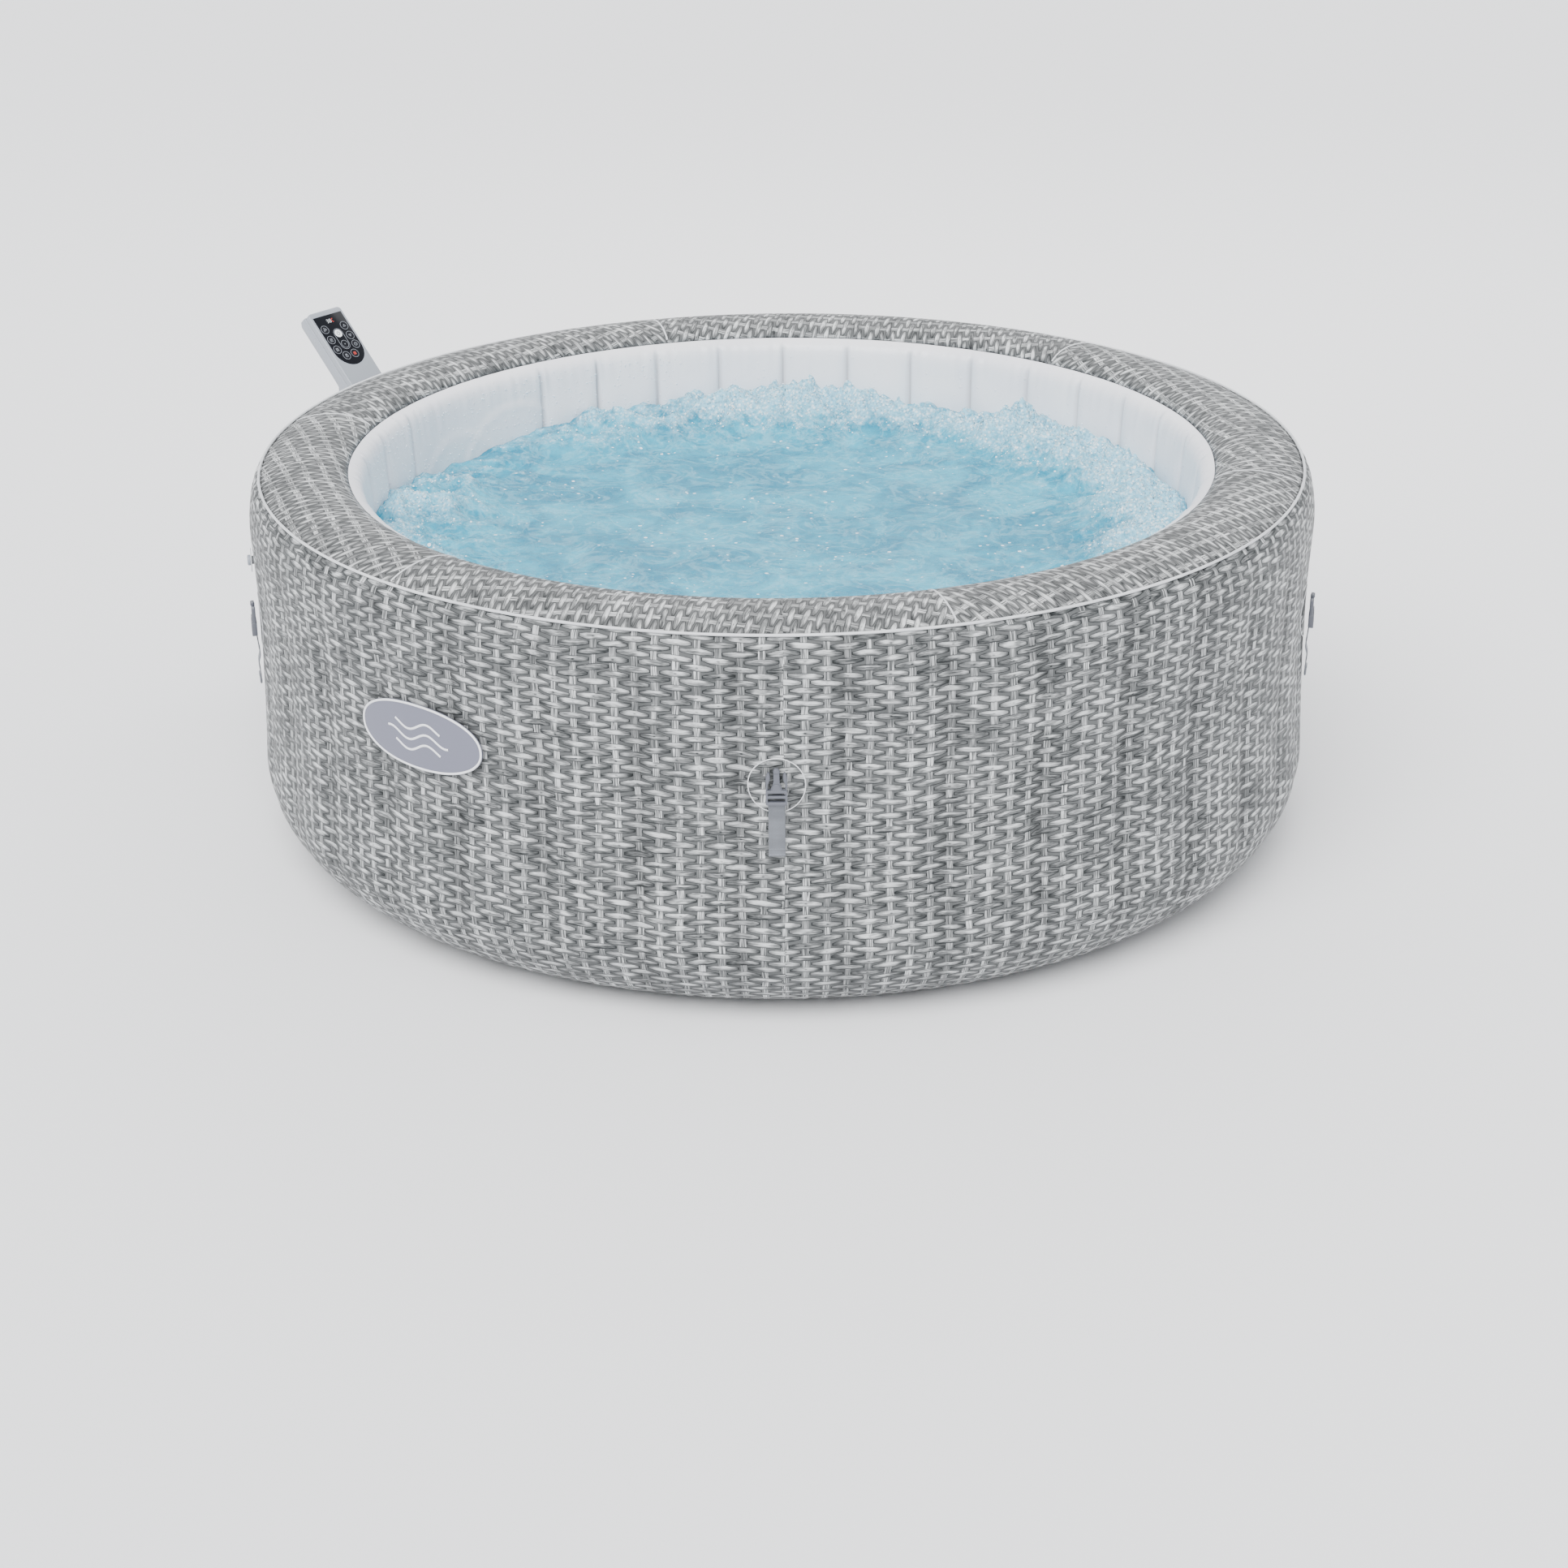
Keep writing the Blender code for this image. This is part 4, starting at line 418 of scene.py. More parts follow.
print("woven_print:", len(shade.tree.nodes), "nodes")

# %% Moulded grain, vinyl clouding and webbing ribs
shade, given, out = shader_group(
    "moulded_grain",
    {
        "Place": Vector((0, 0, 0)),
        "Size": 0.0008,
        "Base": (0.5, 0.5, 0.5, 1.0),
        "Smudge": 0.08,
        "Shine": 0.4,
    },
    {"Color": tuple, "Roughness": float, "Height": float},
)
fine = shade.noise(given["Place"], shade.math("DIVIDE", 1.0, given["Size"]), 2.0, 0.6)
smudge = shade.noise(given["Place"], 9.0, 4.0, 0.6)
scuff = shade.span(shade.noise(shade.scaled(given["Place"], (1.0, 1.0, 6.0)), 40.0, 3.0, 0.7), 0.62, 0.72)
tint = shade.linear(shade.minus(smudge, 0.5), given["Smudge"], 1.0)
tint = shade.plus(tint, shade.times(scuff, shade.times(given["Smudge"], 0.35)))
gloss = shade.linear(shade.minus(smudge, 0.5), 0.22, given["Shine"])
gloss = shade.math("MULTIPLY_ADD", scuff, 0.06, gloss, clamp=True)
shade.send(out, Color=shade.toned(given["Base"], tint), Roughness=gloss, Height=fine)

shade, given, out = shader_group(
    "handled_vinyl",
    {
        "Place": Vector((0, 0, 0)),
        "Base": (0.8, 0.8, 0.8, 1.0),
        "Shadow": (0.7, 0.7, 0.75, 1.0),
        "Drops": 0.0,
    },
    {"Color": tuple, "Roughness": float, "Height": float},
)
cloud = shade.noise(given["Place"], 5.0, 5.0, 0.6, 0.3)
pores = shade.noise(given["Place"], 900.0, 2.0, 0.5)
crinkle = shade.noise(shade.scaled(given["Place"], (1.0, 1.0, 0.25)), 60.0, 3.0, 0.55)
drop_cells = shade.cells(given["Place"], 95.0)
drop_luck = shade.channels(shade.cells(given["Place"], 95.0, "Color"))[0]
drop_size = shade.times(shade.span(drop_luck, 0.62, 1.0, 0.0, 0.34, "LINEAR"), given["Drops"])
in_drop = shade.math("DIVIDE", drop_cells, shade.math("MAXIMUM", drop_size, 0.001))
bead = shade.math("SUBTRACT", 1.0, in_drop, clamp=True)
bead = shade.times(shade.math("SQRT", bead), shade.math("GREATER_THAN", drop_size, 0.01))
clouded = shade.mix(shade.span(cloud, 0.35, 0.70), given["Base"], given["Shadow"])
dull = shade.linear(crinkle, 0.14, 0.30)
dull = shade.math("SUBTRACT", dull, shade.times(bead, 0.28), clamp=True)
crinkle_height = shade.linear(crinkle, 0.35, shade.times(pores, 0.03))
shade.send(out, Color=clouded, Roughness=dull, Height=shade.linear(bead, 0.9, crinkle_height))

shade, given, out = shader_group(
    "webbing_ribs",
    {"Place": Vector((0, 0, 0)), "Base": (0.5, 0.5, 0.5, 1.0)},
    {"Color": tuple, "Height": float},
)
parts = shade.parts(given["Place"])
pick = shade.math("FLOOR", shade.times(parts[2], 900.0))
slide = shade.times(shade.math("FLOORED_MODULO", pick, 4.0), 0.25)
rib = shade.math("FRACT", shade.linear(parts[0], 640.0, slide))
rib = shade.math("SINE", shade.times(rib, math.pi))
fuzz = shade.noise(given["Place"], 1500.0, 2.0)
band = shade.noise(shade.scaled(given["Place"], (0.2, 0.2, 1.0)), 60.0, 2.0)
tone = shade.linear(rib, 0.30, shade.linear(fuzz, 0.22, 0.56))
tone = shade.times(tone, shade.linear(band, 0.90, 0.60))
shade.send(out, Color=shade.toned(given["Base"], tone), Height=shade.linear(fuzz, 0.4, rib))
print("groups:", sorted(group.name for group in bpy.data.node_groups))


# %% [markdown]
# ## The finishes
#
# Each material places a group and keeps its own shader. The wall print and the rim print are the same
# vinyl, told apart by how they are laid: the wall's strands run round the tub, and the rim's run across
# it in six straight-cut panels.

# %% Printed vinyl
PRINT_ROUGHNESS = 0.46
STAKES = 178


def woven_finish(name, light, dark, wobble, contrast, webs):
    """Woven-look print on satin vinyl, laid by the weave map, with painted shade, as strong as webs, where
    webs pull.
    """
    material, shade, shader = new_finish(name, (0.4, 0.4, 0.4), PRINT_ROUGHNESS, Specular_IOR_Level=0.16)
    place = shade.node("UVMap", uv_map="weave").outputs[0]
    looks = {"Light": light, "Dark": dark, "Wobble": wobble, "Contrast": contrast}
    print_out = shade.group("woven_print", Place=place, **looks)
    stakes_round = shade.parts(place)[0]
    # Painted shade: soft upright bands of darker print at each web, where the wall is drawn into a groove,
    # made uneven by a broad noise.
    web_count = shade.linear(stakes_round, 360 / WEB_PITCH / STAKES, -OUTER_WEB_PHASE / WEB_PITCH)
    from_middle = shade.math("ABSOLUTE", shade.minus(shade.math("FRACT", web_count), 0.5))
    uneven = shade.span(shade.noise(place, 0.11, 2.0), 0.30, 0.60, 0.35, 1.0)
    groove_shade = shade.times(shade.span(from_middle, 0.32, 0.5), uneven)
    tone = shade.minus(1.0, shade.times(groove_shade, webs))
    soft = shade.linear(print_out["Height"], -0.10, PRINT_ROUGHNESS + 0.05)
    relief = shade.bump(print_out["Height"], 0.0009, 0.55)
    colour = shade.toned(print_out["Color"], tone)
    shade.send(shader.inputs, Base_Color=colour, Roughness=soft, Normal=relief)
    return material


pale, dark = (0.62, 0.635, 0.64, 1.0), (0.010, 0.0125, 0.0135, 1.0)
# The wall print carries painted shade in its grooves at the webs; the rim print carries none.
wall_print = woven_finish("wall_print", pale, dark, 0.6, 1.08, 0.30)
pale, dark = (0.66, 0.67, 0.67, 1.0), (0.016, 0.018, 0.019, 1.0)
rim_print = woven_finish("rim_print", pale, dark, 0.35, 1.06, 0.0)


# %% Plain vinyl, moulded plastic, rubber, metal and webbing
def vinyl_finish(name, base, shadow, drops=0.0):
    """Plain welded vinyl, faintly clouded and crinkled, with beads of water where drops is above 0. Creases
    that a point attribute marks get painted shade.
    """
    material, shade, shader = new_finish(name, base[:3], 0.4, Coat_Weight=0.08)
    vinyl = shade.group("handled_vinyl", Place=shade.place(), Base=base, Shadow=shadow, Drops=drops)
    # Painted shade: marked creases darken towards a deep tint of the shadow colour, by a point attribute that
    # the liner sets.
    crease_shade = shade.node("Attribute", attribute_name="crease_shade").outputs["Fac"]
    crease_shade_colour = [0.45 * part for part in shadow[:3]] + [1.0]
    colour = shade.mix(crease_shade, vinyl["Color"], crease_shade_colour)
    relief = shade.bump(vinyl["Height"], 0.0012, 0.6)
    shade.send(shader.inputs, Base_Color=colour, Roughness=vinyl["Roughness"], Normal=relief)
    return material


def moulded_finish(name, colour, roughness, size=0.0008, depth=0.0001, smudge=0.08, metallic=0.0, **more):
    """Moulded plastic, rubber or coated metal: a fine grain, handled smudges and faint scuffs."""
    material, shade, shader = new_finish(name, colour, roughness, metallic, **more)
    looks = {"Size": size, "Base": (*colour, 1.0), "Smudge": smudge, "Shine": roughness}
    grain = shade.group("moulded_grain", Place=shade.place(), **looks)
    relief = shade.bump(grain["Height"], depth, 0.5)
    shade.send(shader.inputs, Base_Color=grain["Color"], Roughness=grain["Roughness"], Normal=relief)
    return material


def webbing_finish(name, colour):
    """Woven polyester webbing, in fine diagonal ribs."""
    material, shade, shader = new_finish(name, colour, 0.62, Sheen_Weight=0.25, Sheen_Roughness=0.5)
    ribs = shade.group("webbing_ribs", Place=shade.place(), Base=(*colour, 1.0))
    shade.send(shader.inputs, Base_Color=ribs["Color"], Normal=shade.bump(ribs["Height"], 0.0003, 0.6))
    return material


liner_vinyl = vinyl_finish("liner_vinyl", (0.90, 0.895, 0.925, 1.0), (0.83, 0.83, 0.88, 1.0), 0.9)
base_vinyl = vinyl_finish("base_vinyl", (0.20, 0.21, 0.22, 1.0), (0.15, 0.16, 0.17, 1.0))
inner_vinyl = vinyl_finish("inner_vinyl", (0.72, 0.72, 0.74, 1.0), (0.62, 0.62, 0.65, 1.0))
piping_vinyl = vinyl_finish("piping_vinyl", (0.72, 0.735, 0.75, 1.0), (0.60, 0.61, 0.63, 1.0))
silver_grey = (0.32, 0.345, 0.385)
silver_plastic = moulded_finish("silver_plastic", silver_grey, 0.30, 0.0006, 0.00004, 0.05, Coat_Weight=0.15)
black_plastic = moulded_finish("black_plastic", (0.018, 0.020, 0.024), 0.45, 0.0010, 0.00022, 0.25)
nut_plastic = moulded_finish("nut_plastic", (0.030, 0.034, 0.040), 0.42, 0.0009, 0.00014, 0.25)
fitting_plastic = moulded_finish("fitting_plastic", (0.50, 0.52, 0.54), 0.42, 0.0008, 0.00008)
cap_plastic = moulded_finish("cap_plastic", (0.27, 0.29, 0.33), 0.40, 0.0008, 0.00008)
dial_plastic = moulded_finish("dial_plastic", (0.07, 0.08, 0.09), 0.36, 0.0007, 0.00006, 0.2)
buckle_grey = (0.100, 0.106, 0.128)
buckle_plastic = moulded_finish("buckle_plastic", buckle_grey, 0.34, 0.0008, 0.00006, 0.10, Coat_Weight=0.1)
badge_silver = moulded_finish("badge_silver", (0.19, 0.195, 0.25), 0.32, 0.0007, 0.00003, 0.10, 0.5)
badge_edge_finish = moulded_finish("badge_edge", (0.86, 0.87, 0.90), 0.28, 0.0007, 0.00003, 0.04)
seal_rubber = moulded_finish("seal_rubber", (0.012, 0.012, 0.013), 0.60, 0.0007, 0.00018, 0.4)
coated_steel = moulded_finish("coated_steel", (0.16, 0.17, 0.18), 0.42, 0.0009, 0.00012, 0.15, 0.55)
drawn_steel = moulded_finish("drawn_steel", (0.56, 0.56, 0.57), 0.28, 0.0005, 0.00004, 0.12, 1.0)
rotor_plastic = moulded_finish("rotor_plastic", (0.66, 0.66, 0.62), 0.45)
circuit_lacquer = moulded_finish("circuit_lacquer", (0.01, 0.11, 0.045), 0.30, 0.0016, 0.0002, 0.5)
strap_thread = webbing_finish("strap_thread", (0.30, 0.32, 0.36))
strap_webbing = webbing_finish("strap_webbing", (0.15, 0.162, 0.185))
print("finishes:", len(bpy.data.materials))


# %% [markdown]
# ## Building skins from a grid
#
# A welded skin is one sheet that goes all the way round. A grid of points does that well: rows run down
# the profile, columns run round the tub, and every pucker is a small change of radius. The weave map
# goes on the face corners, so that it can jump where the sheet closes without smearing a column.

# %% Grid skins
def add_piece(name, mesh, material, body):
    """A mesh in one material, placed in the scene and riding a body."""
    mesh.materials.clear()
    mesh.materials.append(material)
    piece = bpy.data.objects.new(name, mesh)
    bpy.context.scene.collection.objects.link(piece)
    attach(piece, body)
    return piece


def mend(mesh, merge=0.0, fill=False):
    """Welds points closer than merge, fills open rings if asked, and turns every face outwards."""
    edit = bmesh.new()
    edit.from_mesh(mesh)
    if merge:
        bmesh.ops.remove_doubles(edit, verts=edit.verts, dist=merge)
    if fill:
        bmesh.ops.holes_fill(edit, edges=[e for e in edit.edges if e.is_boundary], sides=0)
    bmesh.ops.recalc_face_normals(edit, faces=edit.faces)
    edit.to_mesh(mesh)
    edit.free()


def close_ends(piece):
    """Fills the two open rings of a grid piece."""
    mend(piece.data, fill=True)
    return piece


def grid_piece(name, rows, material, closed=True, outward=True, weave=None):
    """A sheet through rows of points. weave gives (x, y) for a row and column, which may be one past."""
    deep, wide = len(rows), len(rows[0])
    columns = wide if closed else wide - 1
    faces, corners = [], []
    for i in range(deep - 1):
        for j in range(columns):
            step = [(i, j), (i + 1, j), (i + 1, j + 1), (i, j + 1)]
            step = step if outward else step[::-1]
            faces.append([a * wide + b % wide for a, b in step])
            corners += step
    mesh = bpy.data.meshes.new(name)
    mesh.from_pydata([p for row in rows for p in row], [], faces)
    if weave:
        layer = mesh.uv_layers.new(name="weave")
        for spot, (a, b) in zip(layer.data, corners):
            spot.uv = weave(a, b)
    mesh.shade_smooth()
    return add_piece(name, mesh, material, "tub")


def thicken(piece):
    """Gives a skin the thickness of its sheet, inwards from its face."""
    sheet = piece.modifiers.new("Sheet", "SOLIDIFY")
    sheet.thickness = SKIN
    sheet.offset = -1.0


def wave(azimuth, *pairs):
    """A sum of ripples round the tub, given as (count, phase) pairs, between about -1 and 1."""
    turn = math.radians(azimuth)
    return sum(math.sin(count * turn + phase) for count, phase in pairs) / len(pairs)


def from_web(azimuth, phase):
    """0 half way between two webs, and 1 or -1 at a web."""
    return ((azimuth - phase) / WEB_PITCH % 1.0) * 2 - 1


print("grid helper ready")

# %% [markdown]
# ## The outer wall
#
# The outer wall stands between a rounded foot and a rounded shoulder. Air pushes it out, and the webs
# inside hold it back along upright lines ten degrees apart, so it is very slightly scalloped. Where it
# turns under to the ground there is too much sheet, and it gathers into small puckers.

# %% Outer wall
AROUND = 720
WALL_ROWS = 64
ROW_PITCH = 0.0114
STRAIGHT_SHARE = 0.70


def wall_radius(height):
    """The outer wall's radius, without its scallops."""
    if height < BULGE_HEIGHT:
        turn = math.acos(1 - max(height, 0.0) / BULGE_HEIGHT)
        return FOOT_RADIUS + FOOT_TUCK * math.sin(turn)
    shoulder = SEAM_HEIGHT - SHOULDER_HEIGHT
    if height < shoulder:
        return WALL_RADIUS - WAIST * math.sin(math.pi * (height - BULGE_HEIGHT) / (shoulder - BULGE_HEIGHT))
    turn = math.asin(min((height - shoulder) / SHOULDER_HEIGHT, 1.0))
    return SEAM_RADIUS + (WALL_RADIUS - SEAM_RADIUS) * math.cos(turn)


def wall_heights():
    """Heights down the wall, closer together where it curves under."""
    heights = []
    for i in range(WALL_ROWS + 1):
        share = i / WALL_ROWS
        if share < STRAIGHT_SHARE:
            heights.append(SEAM_HEIGHT + (BULGE_HEIGHT - SEAM_HEIGHT) * share / STRAIGHT_SHARE)
        else:
            turn = (1 - share) / (1 - STRAIGHT_SHARE) * math.pi / 2
            heights.append(BULGE_HEIGHT * (1 - math.cos(turn)))
    return heights


def wall_point(azimuth, height):
    """A point of the finished wall, with its scallops, puckers and gentle unevenness."""
    radius = wall_radius(height) - SKIN
    held = smooth(height, 0.03, 0.16) * smooth(height, 0.625, 0.50)
    edge = abs(from_web(azimuth, OUTER_WEB_PHASE))
    radius -= held * 0.0066 * edge**3.6
    gather = math.exp(-height / 0.020)
    radius -= gather * 0.0045 * (1 + wave(azimuth, (143, 0.3), (97, 1.9), (211, 4.0)))
    lift = gather * 0.0015 * (1 + wave(azimuth, (120, 2.3), (173, 0.4)))
    shoulder = smooth(height, 0.575, 0.635)
    radius -= shoulder * 0.0007 * (1 + wave(azimuth, (108, 0.5), (187, 2.2)))
    spot = polar(azimuth, 5.0, height * 6)
    radius -= 0.0012 * (1 + noise.noise(spot))
    return polar(azimuth, radius, height + lift * smooth(height, 0.0, 0.004))


heights = wall_heights()
azimuths = [360 * j / AROUND for j in range(AROUND)]
lengths = [0.0]
for upper, lower in zip(heights, heights[1:]):
    step = math.hypot(upper - lower, wall_radius(upper) - wall_radius(lower))
    lengths.append(lengths[-1] + step)
outer_skin = grid_piece(
    "outer_wall_skin",
    [[wall_point(azimuth, height) for azimuth in azimuths] for height in heights],
    wall_print,
    weave=lambda a, b: (STAKES * b / AROUND, -lengths[a] / ROW_PITCH + 60),
)
thicken(outer_skin)
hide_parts("outer_wall")
print("wall sheet is", round(lengths[-1], 3), "m from seam to ground,", STAKES, "stakes round")

# %% [markdown]
# ## The top panel and its piping
#
# The top panel is cut from straight-printed sheet in six pieces, welded side by side. Within one piece
# the strands stay parallel, so they lie straight across the rim at its middle and slant towards its
# ends, and at each weld the slant jumps. A narrow bead of plain vinyl covers the seam with the wall.

# %% Top panel
RIM_CURVE = (
    (RIM_INNER, CREST - 0.0225),
    (0.7595, CREST + 0.0130),
    (0.8407, CREST + 0.0013),
    (0.8734, CREST - 0.0200),
)
RIM_ROWS = 22
RIM_PANELS = 6
RIM_FIRST_WELD = 17.0
RIM_STAKE = 0.0310
RIM_ROW = 0.0108
panel_angle = 360 / RIM_PANELS
rim_profile = [bezier([(r, 0, z) for r, z in RIM_CURVE], i / RIM_ROWS) for i in range(RIM_ROWS + 1)]
rim_lengths = [RIM_INNER]
for low, high in zip(rim_profile, rim_profile[1:]):
    rim_lengths.append(rim_lengths[-1] + (high - low).length)


def rim_point(azimuth, row):
    """A point of the top panel. Its edges gather a little at the welds that hold them."""
    spot = rim_profile[row]
    share = row / RIM_ROWS
    gather = smooth(share, 0.25, 0.0) * wave(azimuth, (131, 0.0), (209, 1.0), (83, 2.0))
    gather += smooth(share, 0.8, 1.0) * wave(azimuth, (163, 0.7), (97, 2.5))
    from_weld = ((azimuth - RIM_FIRST_WELD + panel_angle / 2) % panel_angle) - panel_angle / 2
    ditch = math.exp(-((from_weld / 0.30) ** 2))
    height = spot.z - SKIN + 0.0006 * gather - 0.0009 * ditch * math.sin(math.pi * share)
    return polar(azimuth, spot.x, height)


def lay_rim_weave(obj):
    """Rewrites the weave map from (azimuth, distance) to the straight print of each piece."""
    layer = obj.data.uv_layers["weave"]
    for face in obj.data.polygons:
        middle = sum(layer.data[i].uv[0] for i in face.loop_indices) / len(face.loop_indices)
        piece = math.floor((middle - RIM_FIRST_WELD) / panel_angle)
        centre = RIM_FIRST_WELD + (piece + 0.5) * panel_angle
        for i in face.loop_indices:
            azimuth, reach = layer.data[i].uv
            turn = math.radians(azimuth - centre)
            across = reach * math.cos(turn) / RIM_STAKE + piece * 7.3
            layer.data[i].uv = (across, reach * math.sin(turn) / RIM_ROW + piece * 40.0)


rim_skin = grid_piece(
    "top_panel_skin",
    [[rim_point(azimuth, row) for azimuth in azimuths] for row in range(RIM_ROWS, -1, -1)],
    rim_print,
    outward=False,
    weave=lambda a, b: (360 * b / AROUND, rim_lengths[RIM_ROWS - a]),
)
lay_rim_weave(rim_skin)
thicken(rim_skin)
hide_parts("top_panel")


# %% Piping and the pale lines of the welds
BEAD_SIDES = 10
bead_rows = []
for k in range(BEAD_SIDES):
    turn = 2 * math.pi * k / BEAD_SIDES
    row = []
    for azimuth in azimuths:
        bulge = PIPING_RADIUS * 0.9 * (1 + 0.10 * wave(azimuth, (109, 0.2), (61, 1.4), (223, 3.0)))
        reach = SEAM_RADIUS - 0.0006 + bulge * math.cos(turn)
        row.append(polar(azimuth, reach, SEAM_HEIGHT + bulge * math.sin(turn)))
    bead_rows.append(row)
piping = grid_piece("piping_bead", bead_rows + [bead_rows[0]], piping_vinyl)
mend(piping.data, merge=0.00001)
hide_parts("rim_piping")


def swept_strip(name, spine, across, half, lift, material):
    """A thin flat strip along a spine of (point, outward normal) pairs."""
    rows = []
    for point, normal in spine:
        side = across * half
        raised = point + normal * lift
        rows.append([point - side, raised - side * 0.7, raised + side * 0.7, point + side])
    return grid_piece(name, rows, material, closed=False)


for k in range(RIM_PANELS):
    azimuth = RIM_FIRST_WELD + k * panel_angle
    across = (polar(azimuth + 0.1, 1.0, 0) - polar(azimuth - 0.1, 1.0, 0)).normalized()
    spine = []
    for row in range(1, RIM_ROWS):
        ahead = rim_point(azimuth, row + 1) - rim_point(azimuth, row - 1)
        normal = across.cross(ahead).normalized()
        normal = normal if normal.z > 0 else -normal
        spine.append((rim_point(azimuth, row) + normal * 0.0004, normal))
    weld = swept_strip(f"rim_weld_{k + 1}", spine, across, 0.0016, 0.0007, piping_vinyl)
print("top panel:", RIM_PANELS, "pieces,", round(rim_lengths[-1] - RIM_INNER, 3), "m across")

# %% [markdown]
# ## The white liner
#
# Seen from inside, the same webs draw upright creases into the liner, and the sheet swells softly
# between them. The pitch of the webs drifts by a degree or so round the tub, as it does on a skin that
# is welded by hand. Under the rim the sheet gathers. On the side of the pump one wide stretch has no
# webs: there a stiff patch with embossed arcs carries the water fittings.

# %% Liner
LINER_FLOOR = liner_low.z
LINER_STRAIGHT = CREST - 0.0725
LINER_CURVE = (
    (LINER_RADIUS, LINER_STRAIGHT),
    (LINER_RADIUS, CREST - 0.0400),
    (0.7060, CREST - 0.0325),
    (RIM_INNER - 0.0006, CREST - 0.0246),
)
LINER_AROUND = 1200
liner_azimuths = [360 * j / LINER_AROUND for j in range(LINER_AROUND)]
CREASE_DRIFT = 1.3
DRIFT_MIDDLE = 140.0
PATCH_WEBS = (22, 23)
CREASES = []
for k in range(36):
    if k not in PATCH_WEBS:
        even = LINER_WEB_PHASE + WEB_PITCH * k
        CREASES.append(even + CREASE_DRIFT * (math.cos(math.radians(even - DRIFT_MIDDLE)) - 0.5))
PANEL_FROM, PANEL_TO = CREASES[PATCH_WEBS[0] - 1], CREASES[PATCH_WEBS[0]]


def between_creases(azimuth):
    """(how far along the stretch between two creases, from 0 to 1, and its width in degrees)."""
    for low, high in zip(CREASES, CREASES[1:] + [CREASES[0] + 360]):
        if low <= azimuth < high or low <= azimuth + 360 < high:
            spot = azimuth if azimuth >= low else azimuth + 360
            return (spot - low) / (high - low), high - low
    return 0.5, WEB_PITCH


def patch_emboss(azimuth, height):
    """Height of the raised arcs round the fittings patch."""
    side = math.radians(azimuth - PUMP_AZIMUTH) * LINER_RADIUS
    total = 0.0
    for middle, radius in ((-0.075, 0.145), (0.075, 0.125)):
        reach = math.hypot(side - middle, height - 0.43)
        total += 0.0022 * math.exp(-(((reach - radius) / 0.0040) ** 2))
        total += 0.0013 * smooth(reach, radius + 0.002, radius - 0.006)
    return min(total, 0.0035)


def liner_radius(azimuth, height, radius):
    """The liner's radius with its swells, creases, pleats and patch, from the plain profile's radius."""
    along, width = between_creases(azimuth)
    edge = abs(along * 2 - 1)
    held = smooth(height, CREST - 0.020, CREST - 0.135) * smooth(height, LINER_FLOOR, LINER_FLOOR + 0.08)
    swell = 0.0125 * (1 - edge**4.5) if width < 15 else 0.0090 * (1 - edge**12)
    radius -= held * swell
    from_crease = min(along, 1 - along) * width
    radius += smooth(height, CREST - 0.024, CREST - 0.05) * 0.0085 * math.exp(-((from_crease / 0.24) ** 2))
    pleat = smooth(height, CREST - 0.105, CREST - 0.040) * smooth(height, CREST - 0.0246, CREST - 0.034)
    ripple = wave(azimuth, (118, 0.0), (161, 1.1), (73, 2.0), (227, 0.6))
    radius += 0.0024 * pleat * ripple * (0.35 + 0.65 * edge)
    if PANEL_FROM < azimuth < PANEL_TO:
        radius -= patch_emboss(azimuth, height)
    return radius + 0.0008 * noise.noise(polar(azimuth, 7.0, height * 9))


def liner_point(azimuth, share):
    """A point of the liner, share running from the rim (0) down to the floor (1)."""
    if share < 0.25:
        radius, height = bezier([(r, z, 0) for r, z in LINER_CURVE], 1 - share / 0.25).xy
    else:
        radius = LINER_RADIUS
        height = LINER_STRAIGHT + (LINER_FLOOR - LINER_STRAIGHT) * ((share - 0.25) / 0.75) ** 1.15
    return polar(azimuth, liner_radius(azimuth, height, radius), height)


LINER_ROWS = 72
liner_rows = []
for i in range(LINER_ROWS + 1):
    share = (i / LINER_ROWS) ** 1.25
    liner_rows.append([liner_point(azimuth, share) for azimuth in liner_azimuths])
liner_skin = grid_piece("liner_skin", liner_rows, liner_vinyl, outward=False)
# Painted shade along the liner's creases: how dark each point is drawn, strongest near a crease and fading
# out under the rim.
depths = []
for row in liner_rows:
    for azimuth, point in zip(liner_azimuths, row):
        along, width = between_creases(azimuth)
        from_crease = min(along, 1 - along) * width
        held = smooth(point.z, CREST - 0.020, CREST - 0.060)
        depths.append(0.55 * held * math.exp(-((from_crease / 0.26) ** 2)))
marks = liner_skin.data.attributes.new("crease_shade", "FLOAT", "POINT")
marks.data.foreach_set("value", depths)
thicken(liner_skin)
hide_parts("inner_wall")
print("liner:", len(CREASES), "creases")

# %% [markdown]
# ## The water
#
# A running tub is never flat: air from the ring along the foot of the liner boils up round the edge and
# leaves the middle almost calm. The water is a height field, a sum of swells and noise whose strength
# grows towards the wall, closed underneath so that it is a body and not a sheet. Its colour goes from
# turquoise in the calm middle to the white of foam on the crests.

# %% Water surface
WATER_LEVEL = 0.503
WATER_ROWS = 210
WATER_AROUND = 900
WATER_DEPTH = 0.035
BUBBLE_RING = 0.625
BUBBLE_SPREAD = 0.092
MOUND_HEIGHT = 0.066
CALM_AZIMUTH = 232
WILD_AZIMUTH = 165


def crest_pull(azimuth):
    """How strongly the bubbles push up along the wall at an azimuth, from 0 to 1."""
    calm = math.exp(-((((azimuth - CALM_AZIMUTH) + 180) % 360 - 180) / 20.0) ** 2)
    back = 0.72 + 0.28 * math.cos(math.radians(azimuth - WILD_AZIMUTH))
    lumps = 0.5 + 0.5 * noise.noise(polar(azimuth, 2.3, 0.7))
    small = 0.5 + 0.5 * noise.noise(polar(azimuth, 7.5, 3.1))
    return max(back * (0.30 + 0.80 * lumps) * (0.60 + 0.8 * small) * (1 - 0.80 * calm), 0.0)


PULLS = [crest_pull(360 * j / WATER_AROUND) for j in range(WATER_AROUND)]


